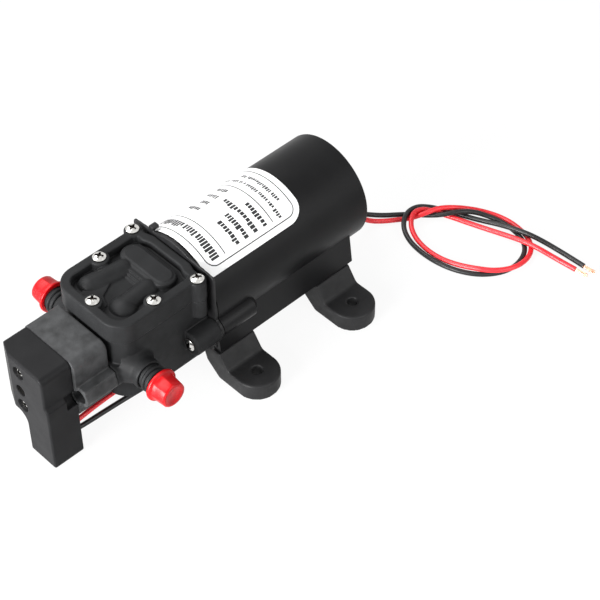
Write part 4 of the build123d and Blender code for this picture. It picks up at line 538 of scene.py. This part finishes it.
# %% [markdown]
# The label is a thin vinyl sheet wrapped over the top of the motor, and the sheet itself comes from
# the CAD model. What is printed on it is a thin ruled border, two rules and rows of small text.
# This part carries no words, so each row is a run of plain blocks of uneven length, which reads as
# print from a step away. The blocks are laid out flat, along the arc length, and one group of
# nodes then bends them round the motor, so their spacing stays true on the curved surface.

# %% Bending flat print round the motor
SHAFT_HEIGHT = 0.0382
PRINT_RELIEF = 0.05
label_low, label_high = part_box("label")
LABEL_RADIUS = label_high[2] - SHAFT_HEIGHT
print("the label's outside radius is", round(LABEL_RADIUS * 1000, 2), "mm")


def bend_round_motor(r, geometry):
    """Takes print laid out in X and Y to the cylinder: Y is the arc length from the top."""
    radius = r.size("Motor Radius", LABEL_RADIUS)
    height = r.size("Shaft Height", SHAFT_HEIGHT)
    parts = r.add("ShaderNodeSeparateXYZ", {0: r.add("GeometryNodeInputPosition")})
    angle = r.math("DIVIDE", parts.outputs[1], radius)
    out = r.math("ADD", radius, r.math("MULTIPLY", parts.outputs[2], PRINT_RELIEF))
    side = r.math("MULTIPLY", out, r.math("SINE", angle))
    high = r.math("ADD", height, r.math("MULTIPLY", out, r.math("COSINE", angle)))
    bent = r.xyz(parts.outputs[0], side, high)
    return r.add("GeometryNodeSetPosition", {"Geometry": geometry, "Position": bent})


# %% The printed row recipe
WORD_ENDS = 0.2
LOWEST_BLOCK = 0.55
BLOCK_THICKNESS = 0.0004


def printed_row_recipe():
    r = Recipe("Printed row")
    count = r.size("Blocks", 10)
    shortest = r.size("Shortest", 0.0010)
    longest = r.size("Longest", 0.0018)
    gap = r.size("Gap", 0.0003)
    word_gap = r.size("Word Gap", 0.0012)
    tall = r.size("Height", 0.0024)
    start = r.size("Start", -0.014)
    row = r.size("Row X", 0.0)
    seed = r.size("Seed", 1)
    index = r.add("GeometryNodeInputIndex")
    long = r.add("FunctionNodeRandomValue", {2: shortest, 3: longest, 7: index, 8: seed},
                 data_type="FLOAT").outputs[1]
    is_end = r.add("FunctionNodeRandomValue", {6: WORD_ENDS, 7: index, 8: r.math("ADD", seed, 7.0)},
                   data_type="BOOLEAN").outputs[3]
    rise = r.add("FunctionNodeRandomValue", {2: LOWEST_BLOCK, 3: 1.0, 7: index, 8: r.math("ADD", seed, 3.0)},
                 data_type="FLOAT").outputs[1]
    stride = r.math("ADD", r.math("ADD", long, gap), r.math("MULTIPLY", is_end, word_gap))
    before = r.add("GeometryNodeAccumulateField", {0: stride}, data_type="FLOAT").outputs["Trailing"]
    middle = r.math("ADD", r.math("ADD", start, before), r.math("MULTIPLY", long, 0.5))
    block_high = r.math("MULTIPLY", tall, rise)
    base = r.math("ADD", row, r.math("MULTIPLY", r.math("SUBTRACT", tall, block_high), 0.5))
    spot = r.xyz(base, middle)
    points = r.add("GeometryNodePoints", {"Count": count})
    placed = r.add("GeometryNodeSetPosition", {"Geometry": points, "Position": spot})
    block = r.add("GeometryNodeMeshCube", {"Vertices X": 2, "Vertices Y": 5, "Vertices Z": 2})
    grown = r.xyz(block_high, long, BLOCK_THICKNESS)
    blocks = r.add("GeometryNodeInstanceOnPoints", {"Points": placed, "Instance": block, "Scale": grown})
    flat = r.add("GeometryNodeRealizeInstances", {"Geometry": blocks})
    r.end(bend_round_motor(r, flat))
    return r


printed_row = printed_row_recipe()
print("nodes in the row recipe:", len(printed_row.tree.nodes))

# %% The ruled border recipe
def printed_rules_recipe():
    r = Recipe("Printed rules")
    wide = r.size("Width", 0.047)
    long = r.size("Length", 0.046)
    corner = r.size("Corner Radius", 0.0045)
    centre_x = r.size("Centre X", 0.0)
    centre_s = r.size("Centre Along", 0.0)
    rule_from = r.size("Rule From", -0.014)
    rule_to = r.size("Rule To", 0.026)
    rules = [r.size("First Rule X", -0.0238), r.size("Second Rule X", 0.0022)]
    line = r.size("Line Width", 0.00052)
    frame_line = r.add("GeometryNodeCurvePrimitiveQuadrilateral", {"Width": wide, "Height": long})
    rounded = r.add("GeometryNodeFilletCurve", {"Curve": frame_line, "Count": 8, "Radius": corner},
                    mode="POLY")
    centre = r.xyz(centre_x, centre_s)
    placed = r.add("GeometryNodeTransform", {"Geometry": rounded, "Translation": centre})
    strokes = [placed]
    for rule_x in rules:
        ends = {"Start": r.xyz(rule_x, rule_from), "End": r.xyz(rule_x, rule_to)}
        strokes.append(r.add("GeometryNodeCurvePrimitiveLine", ends))
    every = r.add("GeometryNodeJoinGeometry", {0: strokes})
    even = r.add("GeometryNodeResampleCurve", {"Curve": every, "Length": 0.0006}, mode="LENGTH")
    thin = r.math("MULTIPLY", line, 0.5)
    pen = r.add("GeometryNodeCurvePrimitiveCircle", {"Resolution": 6, "Radius": thin})
    ribbon = r.add("GeometryNodeCurveToMesh", {"Curve": even, "Profile Curve": pen, "Fill Caps": True})
    r.end(bend_round_motor(r, ribbon))
    return r


printed_rules = printed_rules_recipe()
print("nodes in the border recipe:", len(printed_rules.tree.nodes))

# %% The print on the label
BORDER_INSET = 0.0030
RULE_INSET = 0.0022
PRINT_GAP = 0.00030
LABEL_ARC = (-0.0215, 0.0303)
TEXT_START = -0.0160
VALUE_START = 0.0080
FIRST_SEED = 11
# A size is the shortest block, the longest block and the height.
LARGE, MIDDLE, SMALL, FINE = ((0.0008, 0.0013, 0.0042), (0.0010, 0.0016, 0.0029), (0.0008, 0.0013, 0.0027),
                              (0.0006, 0.0010, 0.0021))
# Each row: its X, where it starts, how many blocks, their size and the gap after a word.
ROWS = [
    (-0.0287, TEXT_START, 25, LARGE, 0.0006),
    (-0.0170, TEXT_START, 8, MIDDLE, 0.0001),
    (-0.0120, TEXT_START, 9, MIDDLE, 0.0002),
    (-0.0070, TEXT_START, 12, MIDDLE, 0.0002),
    (-0.0020, TEXT_START, 8, MIDDLE, 0.0002),
    (-0.0170, VALUE_START, 6, SMALL, 0.0002),
    (-0.0120, VALUE_START, 4, SMALL, 0.0002),
    (-0.0070, VALUE_START, 6, SMALL, 0.0002),
    (-0.0020, VALUE_START, 5, SMALL, 0.0002),
    (0.0060, TEXT_START - 0.0006, 30, FINE, 0.0006),
    (0.0101, TEXT_START + 0.0058, 20, FINE, 0.0006),
]


def joined(name, meshes):
    """Several meshes as one."""
    bm = bmesh.new()
    for mesh in meshes:
        bm.from_mesh(mesh)
    return plain_mesh(name, bm)


prints = []
for number, (row_x, start, blocks, (short, long, tall), word_gap) in enumerate(ROWS):
    prints.append(grow(printed_row,
                       {"Blocks": blocks, "Shortest": short, "Longest": long, "Gap": PRINT_GAP,
                        "Word Gap": word_gap, "Height": tall, "Start": start, "Row X": row_x,
                        "Seed": FIRST_SEED + number}, "label_ink"))
border_x = (label_low[0] + BORDER_INSET, label_high[0] - BORDER_INSET)
border_s = (LABEL_ARC[0] + BORDER_INSET, LABEL_ARC[1] - BORDER_INSET)
prints.append(grow(printed_rules,
                   {"Width": border_x[1] - border_x[0], "Length": border_s[1] - border_s[0],
                    "Centre X": sum(border_x) / 2, "Centre Along": sum(border_s) / 2,
                    "Rule From": border_s[0] + RULE_INSET, "Rule To": border_s[1]}, "label_ink"))
print_mesh = joined("label_print", prints)
print_mesh.materials.append(FINISHES["label_ink"])
keep_piece("label_print", print_mesh, "label_white", "pump")

# %% [markdown]
# Rings repeat in two places: as the ribs of the two hose spigots, where they stand out between the
# head and the red caps, and as the ribs of the rubber grommet at the back. One recipe makes a ring
# by taking a small circle round a large one, and puts a copy on each point of a line. The rings
# shrink along the line by a taper, which is 1 on the spigots and less on the grommet's nose.

# %% The ring rib recipe
def ring_rib_recipe():
    r = Recipe("Ring ribs")
    count = r.size("Count", 3)
    ring_r = r.size("Ring Radius", 0.0053)
    rib_r = r.size("Rib Radius", 0.0004)
    first = r.size("First", (0.0, 0.0, 0.0))
    step = r.size("Step", (0.0, 0.0015, 0.0))
    facing = r.size("Facing", (0.0, 0.0, 0.0))
    taper = r.size("Taper", 1.0)
    large = r.add("GeometryNodeCurvePrimitiveCircle", {"Resolution": 64, "Radius": ring_r})
    small = r.add("GeometryNodeCurvePrimitiveCircle", {"Resolution": 14, "Radius": rib_r})
    ring = r.add("GeometryNodeCurveToMesh", {"Curve": large, "Profile Curve": small})
    line = r.add("GeometryNodeMeshLine", {"Count": count, "Start Location": first, "Offset": step})
    index = r.add("GeometryNodeInputIndex")
    shrink = r.math("POWER", taper, index)
    aim = r.add("FunctionNodeEulerToRotation", {0: facing})
    rings = r.add("GeometryNodeInstanceOnPoints",
                  {"Points": line, "Instance": ring, "Rotation": aim, "Scale": shrink})
    r.end(rings)
    return r


ring_ribs = ring_rib_recipe()
FLAT_TO_Y = (math.pi / 2, 0.0, 0.0)
FLAT_TO_X = (0.0, math.pi / 2, 0.0)
PORT_PLACE = (-0.0750, 0.03356)
SPIGOT_RADIUS = 0.00525
SPIGOT_RIB_RADIUS, SPIGOT_RIB_FIRST, SPIGOT_RIB_STEP = 0.0008, 0.0283, 0.0022
for name, side in (("inlet_spigot_ribs", 1), ("outlet_spigot_ribs", -1)):
    mesh = grow(ring_ribs,
                {"Count": 2, "Ring Radius": SPIGOT_RADIUS, "Rib Radius": SPIGOT_RIB_RADIUS,
                 "Facing": FLAT_TO_Y, "First": (PORT_PLACE[0], side * SPIGOT_RIB_FIRST, PORT_PLACE[1]),
                 "Step": (0.0, side * SPIGOT_RIB_STEP, 0.0)}, "head_black")
    keep_piece(name, mesh, "head_black", "pump", sharp=60)

# %% The grommet's ribs
GROMMET_X, GROMMET_HEIGHT, GROMMET_RADIUS = 0.0482, 0.0208, 0.0035
mesh = grow(ring_ribs,
            {"Count": 3, "Ring Radius": GROMMET_RADIUS, "Rib Radius": 0.00028, "Facing": FLAT_TO_X,
             "First": (GROMMET_X, 0.0, GROMMET_HEIGHT), "Step": (0.0006, 0.0, 0.0), "Taper": 0.94},
            "seal_rubber")
keep_piece("grommet_ribs", mesh, "seal_rubber", "pump", sharp=60)

# %% [markdown]
# The last few millimetres of each lead are stripped, and the bare strands spread a little. A strand
# is a thin curve, and the tree sets fourteen of them in the pattern of sunflower seeds, which fills
# a round bundle evenly. Each starts inside the insulation, twists about the middle, and moves out
# with the square of the distance, so the bundle is tight at the insulation and open at its end.

# %% The strand recipe
GOLDEN_ANGLE = math.radians(137.508)
SHORTEST_STRAND = 0.82


def strand_recipe():
    r = Recipe("Copper strands")
    count = r.size("Strands", 14)
    bundle = r.size("Bundle Radius", 0.0007)
    wire = r.size("Wire Radius", 0.00014)
    long = r.size("Length", 0.0065)
    splay = r.size("Splay", 0.5)
    twist = r.size("Twist", 1.6)
    seed = r.size("Seed", 1)
    index = r.add("GeometryNodeInputIndex")
    share = r.math("SQRT", r.math("DIVIDE", r.math("ADD", index, 0.5), count))
    out = r.math("MULTIPLY", bundle, share)
    angle = r.math("MULTIPLY", index, GOLDEN_ANGLE)
    spot = r.xyz(r.math("MULTIPLY", out, r.math("COSINE", angle)),
                 r.math("MULTIPLY", out, r.math("SINE", angle)))
    points = r.add("GeometryNodePoints", {"Count": count, "Position": spot})
    end = r.xyz(z=long)
    line = r.add("GeometryNodeCurvePrimitiveLine", {"End": end})
    fine = r.add("GeometryNodeResampleCurve", {"Curve": line, "Count": 12}, mode="COUNT")
    shorter = r.add("FunctionNodeRandomValue", {2: SHORTEST_STRAND, 3: 1.0, 7: index, 8: seed},
                    data_type="FLOAT").outputs[1]
    stretch = r.xyz(1.0, 1.0, shorter)
    strands = r.add("GeometryNodeInstanceOnPoints", {"Points": points, "Instance": fine, "Scale": stretch})
    real = r.add("GeometryNodeRealizeInstances", {"Geometry": strands})
    along = r.add("GeometryNodeSplineParameter").outputs["Factor"]
    place = r.add("GeometryNodeInputPosition")
    wider = r.math("ADD", 1.0, r.math("MULTIPLY", splay, r.math("POWER", along, 2.0)))
    turned_place = r.add("ShaderNodeVectorRotate",
                         {"Vector": place, "Angle": r.math("MULTIPLY", twist, along)}, rotation_type="Z_AXIS")
    scale = r.xyz(wider, wider, 1.0)
    spread = r.add("ShaderNodeVectorMath", {0: turned_place, 1: scale}, operation="MULTIPLY")
    opened = r.add("GeometryNodeSetPosition", {"Geometry": real, "Position": spread})
    pen = r.add("GeometryNodeCurvePrimitiveCircle", {"Resolution": 7, "Radius": wire})
    wires = r.add("GeometryNodeCurveToMesh", {"Curve": opened, "Profile Curve": pen, "Fill Caps": True})
    r.end(wires)
    return r


strand_tree = strand_recipe()
STRIPPED_LENGTH = 0.0065
STRAND_TUCK = 0.0004
FIRST_STRAND_SEED = 5
for number, (lead, node) in enumerate((("supply_lead_red", "red_lead_strands"),
                                       ("supply_lead_black", "black_lead_strands"))):
    line = lines[lead]
    way = (line[-1] - line[-2]).normalized()
    mesh = grow(strand_tree,
                {"Length": STRIPPED_LENGTH + STRAND_TUCK, "Bundle Radius": 0.00062, "Splay": 0.55,
                 "Seed": FIRST_STRAND_SEED + number}, "copper")
    turn = way.to_track_quat("Z", "Y").to_matrix().to_4x4()
    mesh.transform(Matrix.Translation(line[-1] - way * STRAND_TUCK) @ turn)
    keep_piece(lead + "_strands", mesh, "copper", "pump", [node], sharp=60)

# %% [markdown]
# Each lead and each switch wire, a tube of its own thickness, is parented to the pump's body, and
# the CAD node that it stands for is hidden. The lengths printed above are measured on the smooth
# line itself.

for name, node, slot, points, radius, far_end in CORDS:
    cord = cords[name]
    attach(cord, "pump")
    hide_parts(node)
print("cords declared:", len(cords))

# %% [markdown]
# The red transit caps are soft plastic, pushed on the spigots to keep dirt out. A cap is a turned
# shape with a rule: the outline is spun about the spigot's axis, and between the collar and the
# tip the circle is pressed towards an eight sided figure, which gives the faint flats that catch
# the light. The outline goes up the outside and back down the bore, so the wall is closed.

# %% A turned shape and the two caps
CAP_OUTLINE = [(0.0, 0.0406), (0.0034, 0.0406), (0.0037, 0.0409), (0.00485, 0.0409), (0.00535, 0.04065),
               (0.00575, 0.0400), (0.00590, 0.0380), (0.0061, 0.0360), (0.00625, 0.0345), (0.0064, 0.0340),
               (0.0068, 0.0339), (0.0071, 0.0336), (0.0072, 0.0333), (0.0072, 0.0328), (0.0071, 0.0325),
               (0.0069, 0.0324), (0.0055, 0.0324), (0.00535, 0.0326), (0.00535, 0.03945), (0.0, 0.03945)]
FLATS = 8
FLAT_SHARE = 0.55
CAP_BODY = (0.0343, 0.0404)
BORE_SLACK = 0.00015


def pressed_radius(radius, along, angle):
    """The cap's radius: round at the collar, part way to eight flats on the body."""
    if radius < SPIGOT_RADIUS + BORE_SLACK or not CAP_BODY[0] < along < CAP_BODY[1]:
        return radius
    sector = 2 * math.pi / FLATS
    off = (angle % sector) - sector / 2
    flat = math.cos(sector / 2) / math.cos(off)
    return radius * (1 - FLAT_SHARE + FLAT_SHARE * flat)


def turned_mesh(name, outline, side, steps=96):
    """Spins an outline of (radius, along) pairs about the spigot's axis. Radius 0 is a pole."""
    bm = bmesh.new()
    rings = []
    for radius, along in outline:
        ring = []
        for k in range(steps if radius else 1):
            angle = 2 * math.pi * k / steps
            out = pressed_radius(radius, along, angle)
            ring.append(bm.verts.new((PORT_PLACE[0] + out * math.cos(angle), side * along,
                                      PORT_PLACE[1] + out * math.sin(angle))))
        rings.append(ring)
    for low, high in zip(rings, rings[1:]):
        for k in range(steps):
            n = (k + 1) % steps
            corners = [low[k % len(low)], low[n % len(low)], high[n % len(high)], high[k % len(high)]]
            bm.faces.new(list(dict.fromkeys(corners)))
    bmesh.ops.recalc_face_normals(bm, faces=bm.faces)
    return plain_mesh(name, bm)


for name, body, side in (("inlet_transit_cap", "inlet_cap", 1), ("outlet_transit_cap", "outlet_cap", -1)):
    mesh = turned_mesh(name, CAP_OUTLINE, side)
    keep_piece(name, mesh, "cap_red", body, [body], sharp=50)

# %% [markdown]
# A moulded part has no sharp edge: plastic doesn't fill one, and the toolmaker rounds it. The CAD
# solids are exact, so their edges are sharp, and bevelling hundreds of edges that meet in small
# corners goes wrong somewhere. A sturdier way is to turn a copy into small voxels and smooth it a
# few times, which rounds every edge and fillets every inside corner by about a voxel, and leaves
# flat faces flat. The flat faces then need few triangles, so Decimate takes most of them out, and
# Weighted Normal keeps the large ones shaded flat.

# %% Soft copies of the moulded pieces
MERGE = 0.000001
DOME_TIP = 0.02


def merged_copy(node):
    """A CAD node's loose triangles as a bmesh with their corners merged. The node stays as it is."""
    bm = bmesh.new()
    bm.from_mesh(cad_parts[node].data)
    bmesh.ops.remove_doubles(bm, verts=bm.verts, dist=MERGE)
    return bm


def slab(bm, plan, low, high):
    """Adds a closed block over a plan of (x, y) corners, between two heights, in millimetres."""
    floor_ring = [bm.verts.new((x * MM, y * MM, low * MM)) for x, y in plan]
    roof_ring = [bm.verts.new((x * MM, y * MM, high * MM)) for x, y in plan]
    bm.faces.new(list(reversed(floor_ring)))
    bm.faces.new(roof_ring)
    for k in range(len(plan)):
        n = (k + 1) % len(plan)
        bm.faces.new((floor_ring[k], floor_ring[n], roof_ring[n], roof_ring[k]))


def capsule(bm, start, end, height, radius, rings=6, around=32):
    """Adds a closed, level, round bar between two (x, y) points in millimetres. Its domes lie beyond them."""
    run = Vector((end[0] - start[0], end[1] - start[1], 0.0))
    along = run.normalized()
    across = Vector((-along.y, along.x, 0.0))
    angles = [-math.pi / 2 + math.pi / 2 * k / rings for k in range(rings + 1)]
    stations = [(radius * math.sin(a), radius * max(math.cos(a), DOME_TIP)) for a in angles]
    stations += [(run.length - x, r) for x, r in reversed(stations)]
    turns = [2 * math.pi * k / around for k in range(around)]
    loops = []
    for x, r in stations:
        middle = Vector((start[0], start[1], height)) + along * x
        ring = [middle + across * r * math.cos(a) + Vector((0, 0, 1)) * r * math.sin(a) for a in turns]
        loops.append([bm.verts.new(point * MM) for point in ring])
    bm.faces.new(list(reversed(loops[0])))
    bm.faces.new(loops[-1])
    for one, two in zip(loops, loops[1:]):
        for k in range(around):
            n = (k + 1) % around
            bm.faces.new((one[k], one[n], two[n], two[k]))


def soft_copy(node, name, voxel, passes, most, slot, additions=(), bars=()):
    """A copy of a CAD node with its edges rounded, which stands for that node. The voxel is in metres,
    passes is how often the copy is smoothed, and most is how many triangles it may keep."""
    bm = merged_copy(node)
    for plan, low, high in additions:
        slab(bm, plan, low, high)
    for start, end, height, radius in bars:
        capsule(bm, start, end, height, radius)
    thing = add_object(name, plain_mesh(name, bm))
    voxels = thing.modifiers.new("voxels", "REMESH")
    voxels.mode = "VOXEL"
    voxels.voxel_size = voxel
    rounder = thing.modifiers.new("rounder", "SMOOTH")
    rounder.factor = 0.5
    rounder.iterations = passes
    full = evaluated_mesh(thing)
    full.shade_smooth()
    triangles = 2 * len(full.polygons)
    thing = add_object(name, full)
    fewer = thing.modifiers.new("fewer", "DECIMATE")
    fewer.ratio = min(1.0, most / triangles)
    shading = thing.modifiers.new("shading", "WEIGHTED_NORMAL")
    shading.weight = 60
    final = evaluated_mesh(thing)
    final.materials.clear()
    print(name, "had", triangles, "triangles before Decimate")
    keep_piece(name, final, slot, "pump", [node], sharp=None)


print("soft_copy() takes a node, a new name, a voxel, passes, a most and a slot")

# %% [markdown]
# Three small features of the cover are added here. A stepped web comes down from the chamber
# between the two water tubes, a low shelf lies in front of it, and two round bars carry the tubes
# on into the chamber. They join the copy before the voxels, so all of it melts into one moulding.
# The plans are in millimetres, as (x, y) corners seen from above.

# %% The cover with its stepped web, the head, the switch, the plate and the feet
WEB_FLOOR = 55.0
WEB_REAR_X = -56.0
# Each step: its front X, how far it reaches to the right and to the left, and its top.
WEB_STEPS = [(-57.5, 5.0, 5.2, 58.0), (-58.8, 4.2, 4.6, 57.1), (-60.0, 3.8, 4.2, 56.3),
             (-61.1, 3.5, 4.0, 55.6)]
SHELF_TOP = 56.5
SHELF_PLAN = [(-79.0, -4.2), (-75.2, -3.6), (-73.0, 1.4), (-66.4, 4.9), (-66.4, 9.0), (-79.0, 9.0)]
TUBE_AXIS_Z = 54.1
# Each bar: the two points that its domes are round, its height and its radius.
COVER_BARS = [((-60.0, 8.25), (-57.2, 7.75), TUBE_AXIS_Z, 5.1),
              ((-60.0, -7.15), (-57.2, -6.95), TUBE_AXIS_Z, 4.8)]
cover_slabs = []
for front, to_right, to_left, top in WEB_STEPS:
    plan = [(front, -to_right), (WEB_REAR_X, -to_right), (WEB_REAR_X, to_left), (front, to_left)]
    cover_slabs.append((plan, WEB_FLOOR, top))
cover_slabs.append((SHELF_PLAN, WEB_FLOOR, SHELF_TOP))
soft_copy("top_cover", "head_top_cover", 0.00024, 2, 170000, "head_black", cover_slabs, COVER_BARS)
soft_copy("pump_body", "head_body", 0.00038, 3, 120000, "head_black")
soft_copy("switch_block", "switch_body", 0.00032, 3, 80000, "switch_grey")
soft_copy("switch_cover", "switch_hood", 0.00030, 4, 90000, "switch_black")
soft_copy("backing_plate", "flange_plate", 0.00030, 3, 40000, "plate_black")
for corner in ("front_right", "front_left", "rear_right", "rear_left"):
    soft_copy("foot_" + corner, "rubber_foot_" + corner, 0.00036, 5, 20000, "foot_rubber")

# %% [markdown]
# The pressure spring stands between the adjusting screw and the plunger. It gives way when water
# pushes the plunger out, so a stiff spring would be cut by the plunger's disc. This copy of it is
# the CAD spring with its corners merged, in a mesh of its own.

# %% The pressure spring
coil = plain_mesh("switch_spring", merged_copy("pressure_spring"))
spring = keep_piece("switch_spring", coil, "bare_steel", "pump", ["pressure_spring"], sharp=60)
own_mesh(spring)

# %% [markdown]
# The photograph is a catalogue shot: a white ground, soft light from above, and hardly a shadow.
# White here is the colour of the floor and of the world as the camera and reflections see them,
# not more light on the pump, so the blacks stay black. One large soft box hangs overhead a
# little behind the motor and draws the bright line along its upper edge, a second at the front
# left lights the switch's face, and a weak one fills the near side.

# %% Floor and world
FLOOR_SIZE = 6.0
FLOOR_WHITE = 0.90
FLOOR_GLOW = 0.92
AMBIENT = 0.15


def seen_directly(board):
    """1 for rays that come from the camera, or by way of a mirror or glass."""
    path = board.add("ShaderNodeLightPath")
    seen = board.math("MAXIMUM", path.outputs["Is Camera Ray"], path.outputs["Is Glossy Ray"])
    return board.math("MAXIMUM", seen, path.outputs["Is Transmission Ray"])


floor_mesh = bpy.data.meshes.new("floor")
half = FLOOR_SIZE / 2
floor_mesh.from_pydata([(-half, -half, 0), (half, -half, 0), (half, half, 0), (-half, half, 0)], [],
                       [(0, 1, 2, 3)])
floor = add_object("floor", floor_mesh)
paper = bpy.data.materials.new("floor_paper")
paper.use_nodes = True
paper.node_tree.nodes.clear()
board = Board(paper.node_tree)
matt = board.add("ShaderNodeBsdfDiffuse", {"Color": (FLOOR_WHITE, FLOOR_WHITE, FLOOR_WHITE, 1)})
glow = board.add("ShaderNodeEmission", {"Color": (1, 1, 1, 1), "Strength": 1.0})
share = board.math("MULTIPLY", seen_directly(board), FLOOR_GLOW)
mixed = board.add("ShaderNodeMixShader", {0: share, 1: matt, 2: glow})
board.add("ShaderNodeOutputMaterial", {"Surface": mixed})
floor_mesh.materials.append(paper)

world = bpy.data.worlds.new("studio")
bpy.context.scene.world = world
world.use_nodes = True
world.node_tree.nodes.clear()
board = Board(world.node_tree)
level_of_white = board.math("ADD", AMBIENT, board.math("MULTIPLY", seen_directly(board), 1 - AMBIENT))
sky = board.add("ShaderNodeBackground", {"Color": (1, 1, 1, 1), "Strength": level_of_white})
board.add("ShaderNodeOutputWorld", {"Surface": sky})
print("floor", FLOOR_SIZE, "m wide")

# %% Soft boxes
def soft_box(name, place, aim, size, power):
    """A rectangular lamp at a place, which faces a point. Its size is in metres, its power in watts."""
    lamp = bpy.data.lights.new(name, "AREA")
    lamp.shape = "RECTANGLE"
    lamp.size, lamp.size_y = size
    lamp.energy = power
    thing = add_object(name, lamp)
    way = Vector(aim) - Vector(place)
    thing.matrix_world = Matrix.Translation(place) @ way.to_track_quat("-Z", "Y").to_matrix().to_4x4()
    print(name, "at", round(way.length, 2), "m")


soft_box("overhead", (-0.16, 0.36, 0.62), (-0.03, 0.0, 0.03), (0.60, 0.45), 5.6)
soft_box("front_left", (-0.66, 0.00, 0.20), (-0.08, 0.0, 0.03), (0.40, 0.40), 16.0)
soft_box("near_fill", (0.10, -0.60, 0.40), (-0.02, 0.0, 0.03), (0.50, 0.50), 2.8)

# %% The view transform
bpy.context.scene.view_settings.view_transform = "Standard"
